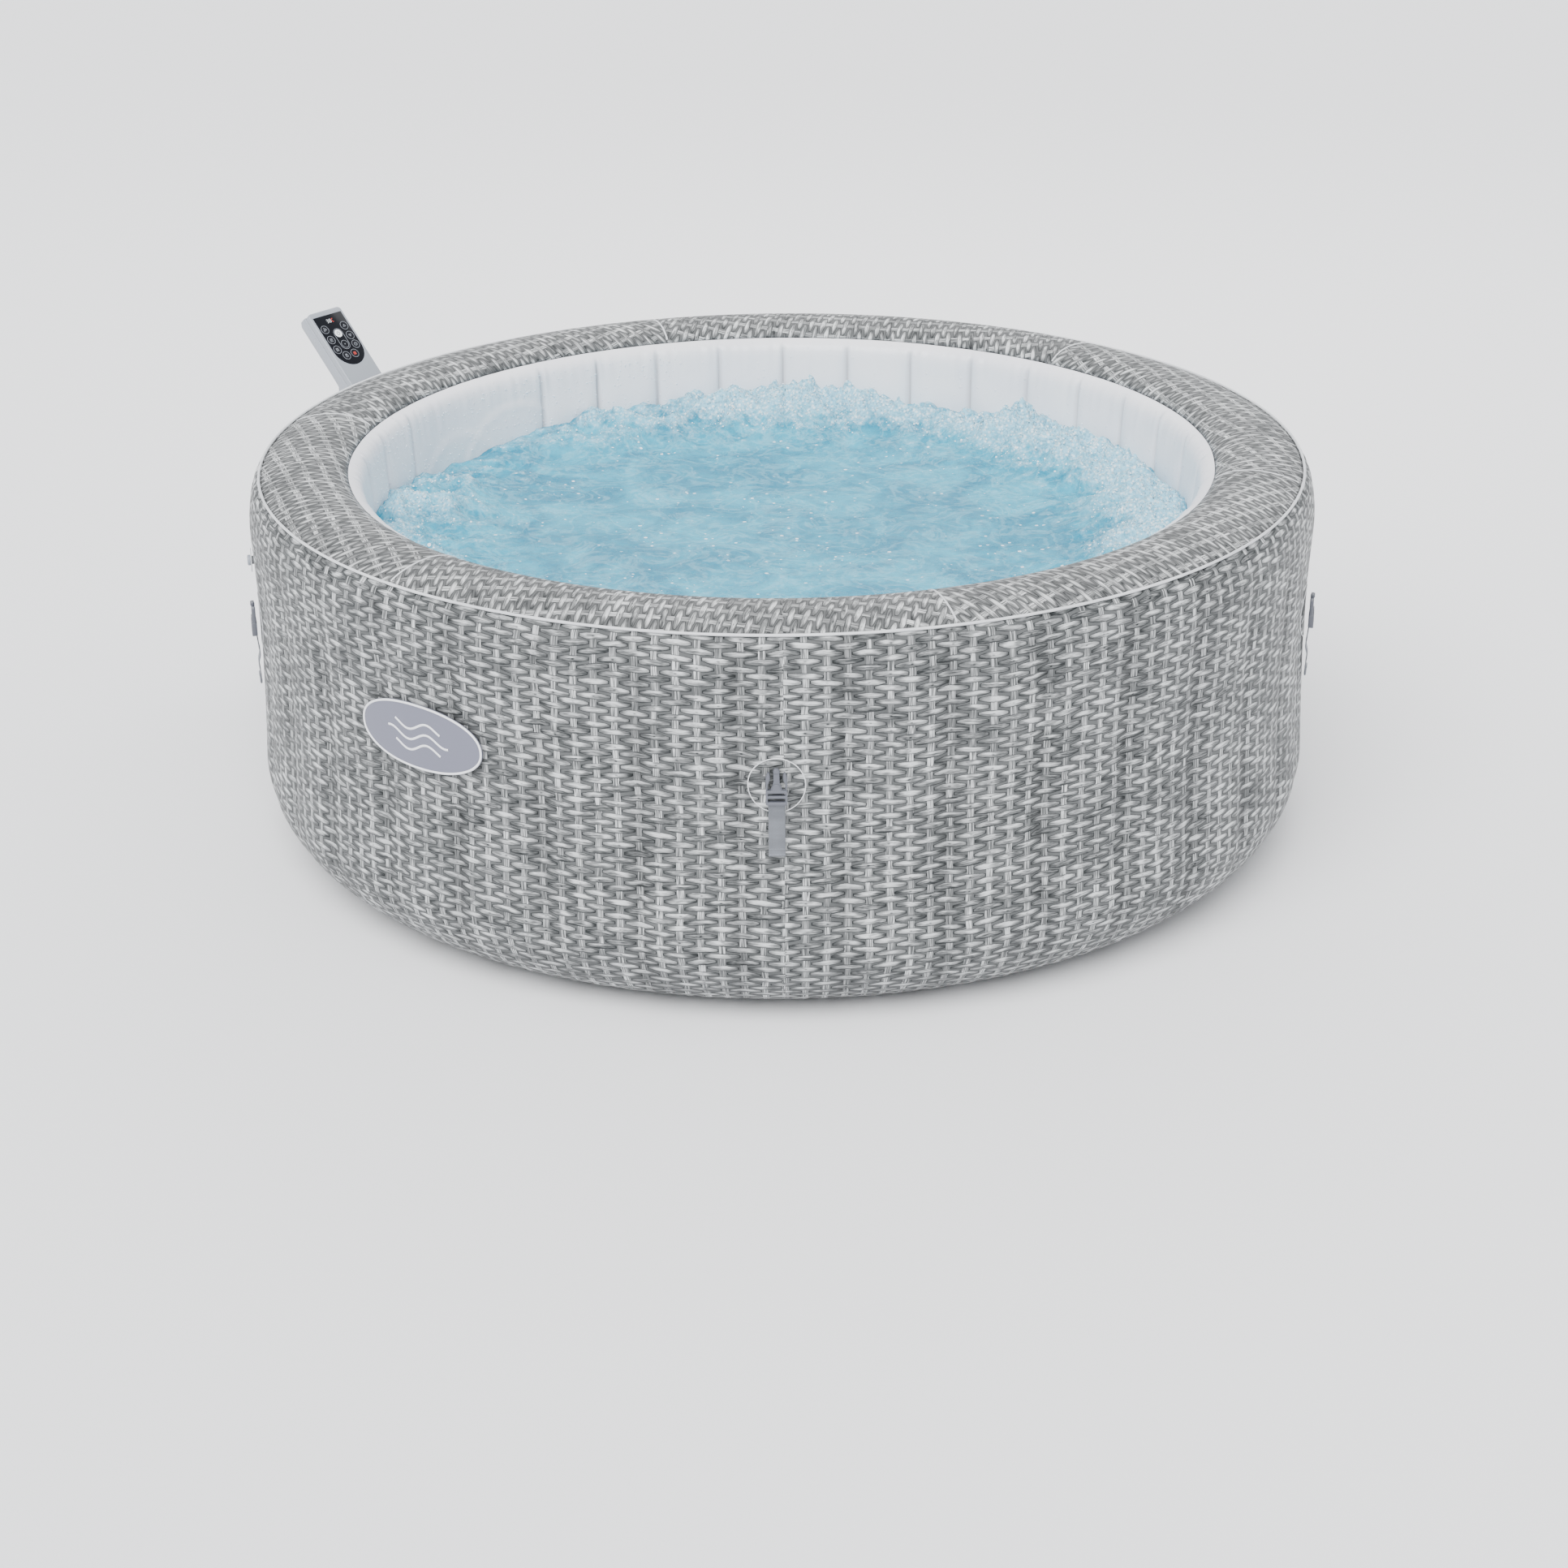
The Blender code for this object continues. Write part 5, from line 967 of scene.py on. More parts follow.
def water_height(x, y, pull):
    """The surface's height at a place, and how much of it is foam there."""
    radius = math.hypot(x, y)
    near_wall = smooth(radius, 0.30, 0.655)
    ring = math.exp(-(((radius - BUBBLE_RING) / BUBBLE_SPREAD) ** 2))
    swell = 0.0050 * noise.noise(Vector((x * 4.2, y * 4.2, 1.0)))
    chop = 0.0034 * noise.noise(Vector((x * 13, y * 13, 4.0)))
    fine = noise.fractal(Vector((x * 34, y * 34, 8.0)), 0.7, 2.1, 4)
    crests = noise.ridged_multi_fractal(Vector((x * 11, y * 11, 12.0)), 0.9, 2.3, 4, 1.0, 2.0)
    lumps = noise.fractal(Vector((x * 15, y * 15, 5.0)), 0.6, 2.2, 4)
    mound = ring * pull * MOUND_HEIGHT
    height = WATER_LEVEL + swell + chop + 0.0011 * fine * (0.5 + near_wall)
    height += mound * (0.50 + 0.46 * crests + 0.42 * lumps) + near_wall * 0.0060 * (crests - 0.9)
    foam = min(max(1.20 * ring * pull + 0.45 * near_wall * (crests - 0.75) - 0.14, 0.0), 1.0)
    return height, foam


water_rows, foams = [[], []], [0.0] * (2 * WATER_AROUND)
edges = []
for j in range(WATER_AROUND):
    azimuth = 360 * j / WATER_AROUND
    edges.append(liner_radius(azimuth, WATER_LEVEL, LINER_RADIUS) + 0.0008)
    water_rows[0].append(polar(azimuth, edges[-1] * 0.5, WATER_LEVEL - WATER_DEPTH))
    water_rows[1].append(polar(azimuth, edges[-1], WATER_LEVEL - WATER_DEPTH))
for i in range(WATER_ROWS + 1):
    row = []
    for j in range(WATER_AROUND):
        spot = polar(360 * j / WATER_AROUND, edges[j] * (1 - i / (WATER_ROWS + 0.5)), 0)
        height, foam = water_height(spot.x, spot.y, PULLS[j])
        row.append(Vector((spot.x, spot.y, height)))
        foams.append(foam)
    water_rows.append(row)

# %% Water body and its finish
water_finish, shade, shader = new_finish("water", (0.06, 0.36, 0.50), 0.10, IOR=1.33, Specular_IOR_Level=0.30)
place = shade.place()
foam = shade.node("Attribute", attribute_name="foam").outputs["Fac"]
froth = shade.noise(place, 40.0, 7.0, 0.74)
lace = shade.cells(place, 150.0)
depths = shade.noise(place, 8.5, 5.0, 0.64, 0.8)
veins = shade.math("ABSOLUTE", shade.minus(shade.noise(place, 13.0, 4.0, 0.6, 1.2), 0.5))
veins = shade.span(veins, 0.0, 0.055, 1.0, 0.0)
turquoise = shade.mix(shade.span(depths, 0.34, 0.68), (0.006, 0.205, 0.330, 1.0), (0.050, 0.400, 0.560, 1.0))
turquoise = shade.mix(shade.times(veins, 0.24), turquoise, (0.36, 0.68, 0.80, 1.0))
foam_mask = shade.linear(shade.minus(froth, 0.5), 2.2, foam)
foam_mask = shade.span(foam_mask, 0.10, 0.95)
pale = shade.mix(shade.span(lace, 0.05, 0.60), (0.82, 0.92, 0.98, 1.0), (0.30, 0.62, 0.78, 1.0))
# Painted glints: tiny near-white spots of sparkle, in scattered patches, painted into the water's colour.
glint_luck = shade.channels(shade.cells(place, 78.0, "Color"))[0]
glint_size = shade.times(shade.math("POWER", glint_luck, 3.0), 0.27)
painted_glints = shade.math("LESS_THAN", shade.cells(place, 78.0), glint_size)
glint_patches = shade.span(shade.noise(place, 7.0, 4.0, 0.7), 0.46, 0.56)
water_colour = shade.mix(foam_mask, turquoise, pale)
water_colour = shade.mix(shade.times(painted_glints, glint_patches), water_colour, (0.90, 0.95, 1.0, 1.0))
ripples = shade.noise(place, 62.0, 4.0, 0.6, 0.8)
bubbles = shade.math("SUBTRACT", 0.5, shade.cells(place, 210.0), clamp=True)
surface = shade.linear(bubbles, shade.linear(foam_mask, 0.9, 0.1), ripples)
soft = shade.linear(foam_mask, 0.20, 0.07)
relief = shade.bump(surface, 0.0065, 0.85)
shade.send(shader.inputs, Base_Color=water_colour, Roughness=soft, Normal=relief)
water = grid_piece("water", water_rows, water_finish, outward=True)
mark = water.data.attributes.new("foam", "FLOAT", "POINT")
mark.data.foreach_set("value", foams)
close_ends(water)
highest = max(vertex.co.z for vertex in water.data.vertices)
print("water:", len(water.data.polygons), "faces, highest", round(highest, 3))

# %% [markdown]
# ## Spray and drops
#
# Small drops hang over the mounds, and more of them cling to the liner on the pump's side. Each one's
# place follows from its number, so every run puts the same drops in the same places.

# %% Spray over the mounds and drops on the liner
spray_spots = []
GOLDEN = 0.6180339887
MOUND_DROPS = 5200
LINER_DROPS = 900
DROPS_FROM = 196
DROPS_SPAN = 72
for k in range(MOUND_DROPS):
    azimuth = 360 * ((k * GOLDEN) % 1.0)
    pull = crest_pull(azimuth)
    luck = [0.5 + 0.5 * noise.cell(Vector((k * 1.37 + 0.31, seed, 0.5))) for seed in (1.5, 4.5, 7.5, 9.5)]
    reach = 0.655 - 0.17 * luck[0] ** 1.6
    spot = polar(azimuth, reach, 0)
    height, foam = water_height(spot.x, spot.y, pull)
    if foam < 0.25 or luck[1] > pull:
        continue
    rise = 0.0005 + 0.014 * pull * luck[2] ** 5
    spray_spots.append((Vector((spot.x, spot.y, height + rise)), 0.0007 + 0.0019 * luck[3] ** 3))
for k in range(LINER_DROPS):
    luck = [0.5 + 0.5 * noise.cell(Vector((k * 2.71 + 0.17, seed, 3.5))) for seed in (2.5, 5.5, 8.5)]
    azimuth = DROPS_FROM + DROPS_SPAN * luck[0]
    height = WATER_LEVEL + 0.012 + 0.105 * luck[1]
    centre = polar(azimuth, liner_radius(azimuth, height, LINER_RADIUS), height)
    spray_spots.append((centre, 0.0006 + 0.0012 * luck[2] ** 3))
drops = bmesh.new()
for centre, size in spray_spots:
    bmesh.ops.create_icosphere(drops, subdivisions=1, radius=size, matrix=Matrix.Translation(centre))
for face in drops.faces:
    face.smooth = True
spray_mesh = bpy.data.meshes.new("spray")
drops.to_mesh(spray_mesh)
drops.free()
spray_finish, shade, shader = new_finish("spray", (0.86, 0.93, 0.98), 0.06, IOR=1.33, Coat_Weight=0.5)
mist = shade.noise(shade.place(), 90.0, 2.0)
shade.send(shader.inputs, Base_Color=shade.mix(mist, (0.62, 0.80, 0.90, 1.0), (0.97, 0.99, 1.0, 1.0)))
add_piece("spray", spray_mesh, spray_finish, "tub")
print("spray:", len(spray_spots), "drops")

# %% [markdown]
# ## Flat pieces with real edges
#
# Buckles, shells, panels and prints are all outlines given a thickness. A filled 2D curve makes them,
# with its own bevel for a rounded edge, and inner outlines become holes. Each is turned into a mesh and
# set down by one matrix, which says where its face points.


# %% Outlines and plates
def arc(centre, radius, first, last, steps):
    """Points on a circle between two angles in degrees."""
    angles = [math.radians(first + (last - first) * k / steps) for k in range(steps + 1)]
    return [(centre[0] + radius * math.cos(a), centre[1] + radius * math.sin(a)) for a in angles]


def circle(centre, radius, steps=40):
    """A closed ring of points."""
    return arc(centre, radius, 0, 360, steps)[:-1]


def rounded_box(left, low, right, high, radius, steps=5):
    """A rectangle's outline with round corners."""
    corners = ((right - radius, high - radius), (left + radius, high - radius))
    corners += ((left + radius, low + radius), (right - radius, low + radius))
    return [p for k, c in enumerate(corners) for p in arc(c, radius, 90 * k, 90 * k + 90, steps)]


def plate_piece(name, outlines, thickness, matrix, material, body, bevel=0.0, bevel_steps=2):
    """Outlines in x and y, given a thickness below z = 0 of the matrix."""
    curve = bpy.data.curves.new(name, "CURVE")
    curve.dimensions = "2D"
    curve.fill_mode = "BOTH"
    curve.extrude = thickness / 2 - bevel
    curve.bevel_depth = bevel
    curve.bevel_resolution = bevel_steps
    curve.offset = -bevel
    for outline in outlines:
        spline = curve.splines.new("POLY")
        spline.points.add(len(outline) - 1)
        for point, (x, y) in zip(spline.points, outline):
            point.co = (x, y, 0, 1)
        spline.use_cyclic_u = True
    holder = bpy.data.objects.new(name + "_curve", curve)
    bpy.context.scene.collection.objects.link(holder)
    bpy.context.view_layer.update()
    mesh = bpy.data.meshes.new_from_object(holder.evaluated_get(bpy.context.evaluated_depsgraph_get()))
    bpy.data.objects.remove(holder)
    mesh.transform(matrix @ Matrix.Translation((0, 0, -thickness / 2)))
    mend(mesh, merge=0.000004)
    mesh.name = name
    mesh.shade_smooth()
    mesh.set_sharp_from_angle(angle=math.radians(35))
    return add_piece(name, mesh, material, body)


def standing(azimuth, radius, height):
    """A frame on the wall: x to the right, y up and z outwards, seen from outside."""
    turn = math.radians(azimuth)
    out = Vector((math.sin(turn), -math.cos(turn), 0))
    side = Vector((math.cos(turn), math.sin(turn), 0))
    axes = Matrix((side, Vector((0, 0, 1)), out)).transposed().to_4x4()
    return Matrix.Translation(polar(azimuth, radius, height)) @ axes


print("plates ready")

# %% [markdown]
# ## Cover buckles
#
# Four buckles hold the cover's straps. Each hangs on a stitched webbing tail over a round welded patch.
# The patch is cut from the same printed vinyl, and its pale welded edge shows as a ring. The buckle is
# the pronged half of a side-release pair: a ladder frame for the webbing below, and a tongue between
# two springing arms above.

# %% Buckle outlines
BUCKLE_AZIMUTHS = {"front": -0.7, "right": 79.0, "back": 180.0, "left": -79.0}
buckle_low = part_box("buckle_front")[0]
BUCKLE_FOOT = buckle_low.z
BUCKLE_FACE = -buckle_low.y
MM = 0.001


def sized(points):
    """Points given in millimetres."""
    return [(x * MM, y * MM) for x, y in points]


def mirrored(points):
    """The same outline on the other side."""
    return [(-x, y) for x, y in reversed(points)]


ladder_frame = [
    rounded_box(-0.0160, 0.0, 0.0160, 0.0235, 0.0022),
    rounded_box(-0.0128, 0.0050, 0.0128, 0.0108, 0.0008),
    rounded_box(-0.0128, 0.0150, 0.0128, 0.0190, 0.0008),
]
spring_arm = sized(
    [(15.6, 21), (15.6, 30), (15.9, 36), (16.0, 41), (15.2, 46), (13.6, 50), (12.0, 51.6), (10.6, 50.6)]
    + [(9.7, 47.0), (9.4, 43), (10.0, 39), (11.4, 35.5), (12.7, 32), (12.9, 27), (12.6, 21)]
)
tongue = sized(
    [(9.0, 21), (8.6, 24.5), (5.2, 33.5), (4.6, 37), (4.4, 49.5), (4.9, 52), (4.6, 55.2), (2.6, 57.6)]
)
tongue = tongue + mirrored(tongue)
ramp = sized([(7.2, 22), (6.6, 25), (4.4, 31.5), (3.6, 33)])
ramp = ramp + mirrored(ramp)
tip = sized([(4.0, 50.5), (4.4, 54.6), (2.4, 57.0)])
tip = tip + mirrored(tip)

# Each part is a name, its outline, its thickness, how far it is set back, and its rounds.
BUCKLE_PARTS = (
    ("tongue", tongue, 0.0050, 0.0016, 0.0008),
    ("tongue_ramp", ramp, 0.0048, 0.0002, 0.0007),
    ("tongue_tip", tip, 0.0050, 0.0003, 0.0009),
    ("right_prong", spring_arm, 0.0062, 0.0016, 0.0012),
    ("left_prong", mirrored(spring_arm), 0.0062, 0.0016, 0.0012),
)
for side, azimuth in BUCKLE_AZIMUTHS.items():
    body = side + "_buckle"
    at = standing(azimuth, BUCKLE_FACE, BUCKLE_FOOT)
    pieces = [plate_piece(side + "_ladder_frame", ladder_frame, 0.0088, at, buckle_plastic, body, 0.0009)]
    for part, outline, thickness, depth, rounds in BUCKLE_PARTS:
        set_back = at @ Matrix.Translation((0, 0, -depth))
        name = f"{side}_{part}"
        pieces.append(plate_piece(name, [outline], thickness, set_back, buckle_plastic, body, rounds))
    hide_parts("buckle_" + side)

# %% Webbing tails
strap_low, strap_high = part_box("strap_front")
STRAP_HALF = 0.0125
STRAP_OUT = -strap_high.y
STRAP_SHEET = 0.0014
STITCH_LIFT = 0.0059


def tail_offset(down):
    """How far the webbing stands off, down its length: it never lies quite flat."""
    return 0.0014 * math.sin(down * 130.0 + 0.4) + 0.0004 * math.sin(down * 260.0 + 1.0)


for side, azimuth in BUCKLE_AZIMUTHS.items():
    at = standing(azimuth, STRAP_OUT, 0)
    top, low = BUCKLE_FOOT + 0.0035, strap_low.z
    layers = []
    for k in range(61):
        height = top + (low - top) * k / 60
        down = top - height
        lift = 0.0018 + tail_offset(down) + 0.0010 * smooth(height, low + 0.017, low + 0.013)
        thick = STRAP_SHEET * (1 + smooth(height, low + 0.015, low + 0.013) * 0.9)
        thin = 1 - 0.6 * smooth(height, low + 0.0012, low)
        half = STRAP_HALF * (1 + 0.012 * math.sin(down * 300))
        edge = thick * 0.28
        ring = [(-half, edge), (-half + 0.0007, thick), (half - 0.0007, thick), (half, edge)]
        ring += [(half, -edge), (half - 0.0007, -thick * 0.2), (-half + 0.0007, -thick * 0.2), (-half, -edge)]
        layers.append([at @ Vector((x, height, lift + z * thin)) for x, z in ring])
    tail = close_ends(grid_piece(side + "_webbing_tail", layers, strap_webbing))
    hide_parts("strap_" + side)
    for number, rise in enumerate((0.0038, 0.0132)):
        stitches = []
        for k in range(9):
            middle = -0.0102 + 0.00255 * k
            stitches.append(rounded_box(middle - 0.0009, -0.00028, middle + 0.0009, 0.00028, 0.00025, 2))
        lift = STITCH_LIFT + tail_offset(top - low - rise)
        seat = at @ Matrix.Translation((0, low + rise, lift))
        thread = plate_piece(f"{side}_stitch_row_{number + 1}", stitches, 0.0006, seat, strap_thread, "tub")

# %% Welded patches
PATCH_RADIUS = 0.0430
PATCH_CENTRE = BUCKLE_FOOT + 0.026
PATCH_TURNS = [math.radians(5 * j) for j in range(72)]
PATCH_STAKE = 0.0316
PATCH_RINGS = 12
PIN_HOLE = 0.02


def patch_reach(ring):
    """The radius of one of the patch's rings, from its edge down to a pin hole that is filled later."""
    return PATCH_RADIUS * (1 - ring / (PATCH_RINGS + PIN_HOLE))


def patch_weave(a, b):
    """The print of a patch, cut from another piece of the sheet. Its first row is the welded rim."""
    reach, turn = patch_reach(max(a - 1, 0)), math.radians(5 * b)
    return reach * math.cos(turn) / PATCH_STAKE + 0.55, reach * math.sin(turn) / ROW_PITCH + 0.4


for side, azimuth in BUCKLE_AZIMUTHS.items():

    def patch_point(reach, turn, lift):
        """A point of the patch, laid on the wall and lifted a little."""
        sideways = reach * math.cos(turn)
        height = PATCH_CENTRE + reach * math.sin(turn)
        spot_azimuth = azimuth + math.degrees(sideways / WALL_RADIUS)
        point = wall_point(spot_azimuth, height)
        return point + polar(spot_azimuth, lift, 0)

    rings = [[patch_point(PATCH_RADIUS, turn, -0.0004) for turn in PATCH_TURNS]]
    for k in range(PATCH_RINGS + 1):
        rings.append([patch_point(patch_reach(k), turn, 0.0008) for turn in PATCH_TURNS])
    patch = close_ends(grid_piece(side + "_weld_patch", rings, wall_print, outward=False, weave=patch_weave))
    rim = []
    for k in range(9):
        round_rim = 2 * math.pi * (k % 8) / 8
        reach = PATCH_RADIUS + 0.0009 * math.cos(round_rim)
        lift = 0.0006 + 0.0006 * math.sin(round_rim)
        rim.append([patch_point(reach, turn, lift) for turn in PATCH_TURNS])
    edge_ring = grid_piece(side + "_patch_edge", rim, piping_vinyl)
print("four buckles with tails and patches")

# %% [markdown]
# ## The badge
#
# A soft silver plate is welded to the front left of the wall. It carries a plain generic motif of three
# waves inside a raised pale border, and it bends with the wall.

# %% Badge
BADGE_AZIMUTH = -38.1
badge_low, badge_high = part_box("badge_plate")
BADGE_HEIGHT = (badge_low.z + badge_high.z) / 2
BADGE_HALF_TALL = (badge_high.z - badge_low.z) / 2
BADGE_HALF_WIDE = 0.1245
BADGE_SEAT = WALL_RADIUS + 0.0006


def badge_point(x, y, lift):
    """A place on the badge, bent round the wall."""
    azimuth = BADGE_AZIMUTH + math.degrees(x / BADGE_SEAT)
    return polar(azimuth, BADGE_SEAT + lift, BADGE_HEIGHT + y)


def badge_edge(turn, shrink=0.0):
    """The outline, a little fuller than an ellipse."""
    power = 0.92
    x = math.copysign(abs(math.cos(turn)) ** power, math.cos(turn))
    y = math.copysign(abs(math.sin(turn)) ** power, math.sin(turn))
    return x * (BADGE_HALF_WIDE - shrink), y * (BADGE_HALF_TALL - shrink)


def badge_tube(name, centre_line, radius, material, closed=True):
    """A raised line on the badge along (x, y) points."""
    rows = []
    count = len(centre_line)
    for k in range(9):
        turn = 2 * math.pi * (k % 8) / 8
        side = radius * math.cos(turn)
        lift = 0.0022 + radius * 0.8 * math.sin(turn)
        row = []
        for i, (x, y) in enumerate(centre_line):
            after = centre_line[(i + 1) % count] if closed or i + 1 < count else centre_line[i]
            before = centre_line[i - 1] if closed or i > 0 else centre_line[i]
            along = Vector((after[0] - before[0], after[1] - before[1])).normalized()
            row.append(badge_point(x - along.y * side, y + along.x * side, lift))
        rows.append(row)
    line = grid_piece(name, rows, material, closed=closed)
    return line


BADGE_RINGS = 16
BADGE_TURNS = [math.radians(3 * j) for j in range(120)]
badge_rows = [[badge_point(*badge_edge(turn), 0.0) for turn in BADGE_TURNS]]
for k in range(BADGE_RINGS + 1):
    share = 1 - k / (BADGE_RINGS + PIN_HOLE)
    dome = 0.0022 + 0.0012 * (1 - share**4)
    badge_rows.append([badge_point(*(share * c for c in badge_edge(turn)), dome) for turn in BADGE_TURNS])
badge = close_ends(grid_piece("badge", badge_rows, badge_silver, outward=False))
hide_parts("badge_plate")
border = [badge_edge(turn, 0.0022) for turn in BADGE_TURNS]
badge_tube("badge_border", border, 0.0019, badge_edge_finish)
for number, (rise, half) in enumerate(((0.017, 0.046), (0.0, 0.062), (-0.017, 0.046))):
    spots = [-half + 2 * half * k / 60 for k in range(61)]
    line = [(x, rise + 0.0070 * math.sin(x / 0.0120)) for x in spots]
    badge_tube(f"badge_wave_{number + 1}", line, 0.0024, badge_edge_finish, closed=False)
print("badge", round(2 * BADGE_HALF_WIDE, 3), "by", round(2 * BADGE_HALF_TALL, 3))

# %% [markdown]
# ## The control head's panel
#
# The glossy panel is flush with the leaning face. It carries a three-digit display, eight round keys with
# thin generic symbols and a lit power key on a pill-shaped field. Symbols and rings are cut as plates a
# few tenths of a millimetre proud, so they stay crisp from close by.

# %% Panel
PUMP_TURN = Matrix.Rotation(math.radians(PUMP_AZIMUTH - 180), 4, "Z")
FACE_LEAN = 47.3
HEAD_REACH = 1.102
HEAD_TOP = 0.706
FACE_TURN = Matrix.Rotation(math.radians(FACE_LEAN), 4, "X")
HEAD = PUMP_TURN @ Matrix.Translation((0, HEAD_REACH, HEAD_TOP)) @ FACE_TURN
GLASS = HEAD @ Matrix.Translation((0, 0, 0.0003))
PANEL_HALF = 0.0360
PANEL_TOP = -0.0110
PANEL_LOW = PANEL_TOP - 0.111 + PANEL_HALF
PANEL_BODY = "control_head"
panel_gloss, shade, shader = new_finish("panel_gloss", (0.004, 0.005, 0.008), 0.10, Specular_IOR_Level=0.16)
place = shade.place()
dust = shade.span(shade.noise(place, 700.0, 3.0, 0.6), 0.62, 0.80)
prints = shade.noise(place, 60.0, 4.0, 0.6, 0.5)
dusted = shade.mix(dust, (0.004, 0.005, 0.008, 1.0), (0.014, 0.015, 0.020, 1.0))
shade.send(shader.inputs, Base_Color=dusted, Roughness=shade.linear(prints, 0.14, 0.05))


def lit_finish(name, colour, glow):
    """A printed or lit mark: a soft colour with a little light of its own."""
    material, shade, shader = new_finish(name, colour, 0.35, Specular_IOR_Level=0.12)
    uneven = shade.noise(shade.place(), 420.0, 2.0)
    full, duller, dullest = ((*[c * part for c in colour], 1.0) for part in (1.0, 0.8, 0.7))
    printed, lit = shade.mix(uneven, full, duller), shade.mix(uneven, full, dullest)
    shade.send(shader.inputs, Base_Color=printed, Emission_Color=lit, Emission_Strength=glow)
    return material


mark_grey = lit_finish("mark_grey", (0.34, 0.36, 0.40), 0.10)
mark_white = lit_finish("mark_white", (0.85, 0.88, 0.92), 0.45)
mark_red = lit_finish("mark_red", (0.85, 0.10, 0.08), 0.55)
key_field = lit_finish("key_field", (0.010, 0.011, 0.015), 0.0)


def on_panel(name, outlines, x, y, lift, material, thickness=0.0003):
    """Outlines in millimetres about a spot, given in millimetres from the panel's top left corner."""
    at = GLASS @ Matrix.Translation((x * MM - PANEL_HALF, PANEL_TOP - y * MM, lift * MM))
    outlines = [[(px * MM, py * MM) for px, py in outline] for outline in outlines]
    piece = plate_piece(name, outlines, thickness, at, material, PANEL_BODY)
    return piece


face = [(PANEL_HALF, PANEL_TOP), (-PANEL_HALF, PANEL_TOP), *arc((0, PANEL_LOW), PANEL_HALF, 180, 360, 40)]
front = [rounded_box(-0.0415, -0.168, 0.0415, 0.0, 0.008, 8)]
front_shell = plate_piece("head_front", front, 0.012, HEAD, silver_plastic, PANEL_BODY, 0.0026, 4)
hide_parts("head_front_shell")
panel = plate_piece("panel_glass", [face], 0.0009, GLASS, panel_gloss, PANEL_BODY, 0.0002)
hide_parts("touch_panel")


def rings_at(*spots):
    """The outlines of rings, each given as (x, y, outer radius, inner radius)."""
    return [circle((x, y), radius) for x, y, *radii in spots for radius in radii]


def bar(x, y, length, width, angle=0.0):
    """A short straight stroke about a spot."""
    turn = math.radians(angle)
    along = Vector((math.cos(turn), math.sin(turn))) * length / 2
    side = Vector((-math.sin(turn), math.cos(turn))) * width / 2
    middle = Vector((x, y))
    return [tuple(middle + a * along + b * side) for a, b in ((1, 1), (-1, 1), (-1, -1), (1, -1))]


def bars(places, *shape):
    """The same stroke at several places along x."""
    return [bar(x, *shape) for x in places]


def chevron(size, flip):
    """An open triangle pointing up, or down where flip is -1."""
    outer = [(-size, -size * 0.7 * flip), (size, -size * 0.7 * flip), (0, size * flip)]
    inner = [(x * 0.66, y * 0.66 - 0.06 * size * flip) for x, y in outer]
    return [outer, inner]


ripples = [bar(-1.7 + 1.1 * k, y, 1.5, 0.45, 30 * (-1) ** k) for y in (-1.6, 0, 1.6) for k in range(4)]
broken_ring = arc((0, 0), 2.5, 125, 415, 30) + list(reversed(arc((0, 0), 1.9, 125, 415, 30)))
lock_body = [bar(0, -1.0, 4.0, 3.0), bar(0, -1.0, 3.0, 2.0)]
symbols = {
    "bubbles": rings_at((-1.6, -1.2, 1.3, 0.8), (1.4, 0.2, 1.6, 1.1), (-0.8, 2.2, 0.9, 0.5)),
    "heat": bars((-1.8, 0, 1.8), 0.6, 4.2, 0.5, 78) + [bar(0, -2.6, 5.6, 0.5)],
    "filter": [bar(0, y, 5.2, 0.5) for y in (2.0, -2.0)] + bars((-1.8, -0.6, 0.6, 1.8), 0, 3.4, 0.4, 90),
    "up": chevron(2.6, 1),
    "down": chevron(2.6, -1),
    "clock": rings_at((0, 0, 2.7, 2.2)),
    "lock": lock_body + bars((-1.3, 1.3), 1.3, 1.7, 0.5, 90) + [bar(0, 2.3, 3.1, 0.5)],
    "waves": ripples,
    "power": [broken_ring, bar(0, 1.9, 2.6, 0.6, 90)],
}
keys = [("bubbles", 11.5, 28), ("heat", 11.5, 51), ("filter", 11.5, 73), ("up", 59.5, 30), ("down", 59.5, 52)]
keys += [("clock", 59.5, 72), ("lock", 24, 89), ("waves", 45, 89)]
field = [rounded_box(-10.6, -44, 10.6, 1.4, 10.5, 12), rounded_box(-10.0, -43.4, 10.0, 0.8, 9.9, 12)]
on_panel("power_field", field, 36, 33, 0.16, mark_grey)
for name, x, y in keys:
    tone = mark_red if name == "waves" else mark_grey
    on_panel("key_plate_" + name, [circle((0, 0), 8.2)], x, y, 0.10, key_field)
    on_panel("key_ring_" + name, rings_at((0, 0, 8.7, 8.1)), x, y, 0.20, mark_grey)
    marks = [[(px * 1.3, py * 1.3) for px, py in outline] for outline in symbols[name]]
    on_panel("key_mark_" + name, marks, x, y, 0.30, tone)
on_panel("clock_hands", [bar(0, 0.8, 1.8, 0.4, 90), bar(0.6, 0, 1.4, 0.4)], 59.5, 72, 0.30, mark_grey)
on_panel("power_key", [circle((0, 0), 8.2)], 36, 42, 0.20, mark_white)
power = [[(px * 1.5, py * 1.5) for px, py in outline] for outline in symbols["power"]]
on_panel("power_mark", power, 36, 42, 0.45, key_field)
on_panel("lower_key", [circle((0, 0), 7.8)], 36, 66, 0.12, key_field)
on_panel("lower_ring", rings_at((0, 0, 8.2, 7.6)), 36, 66, 0.22, mark_grey)
on_panel("lower_mark", [circle((0, 0), 1.0)], 36, 66, 0.32, mark_grey)
SEGMENTS = [bar(0, 3.4, 2.9, 0.65), bar(0, 0, 2.9, 0.65), bar(0, -3.4, 2.9, 0.65)]
SEGMENTS += [bar(x, y, 2.7, 0.65, 90) for x in (-1.9, 1.9) for y in (1.7, -1.7)]
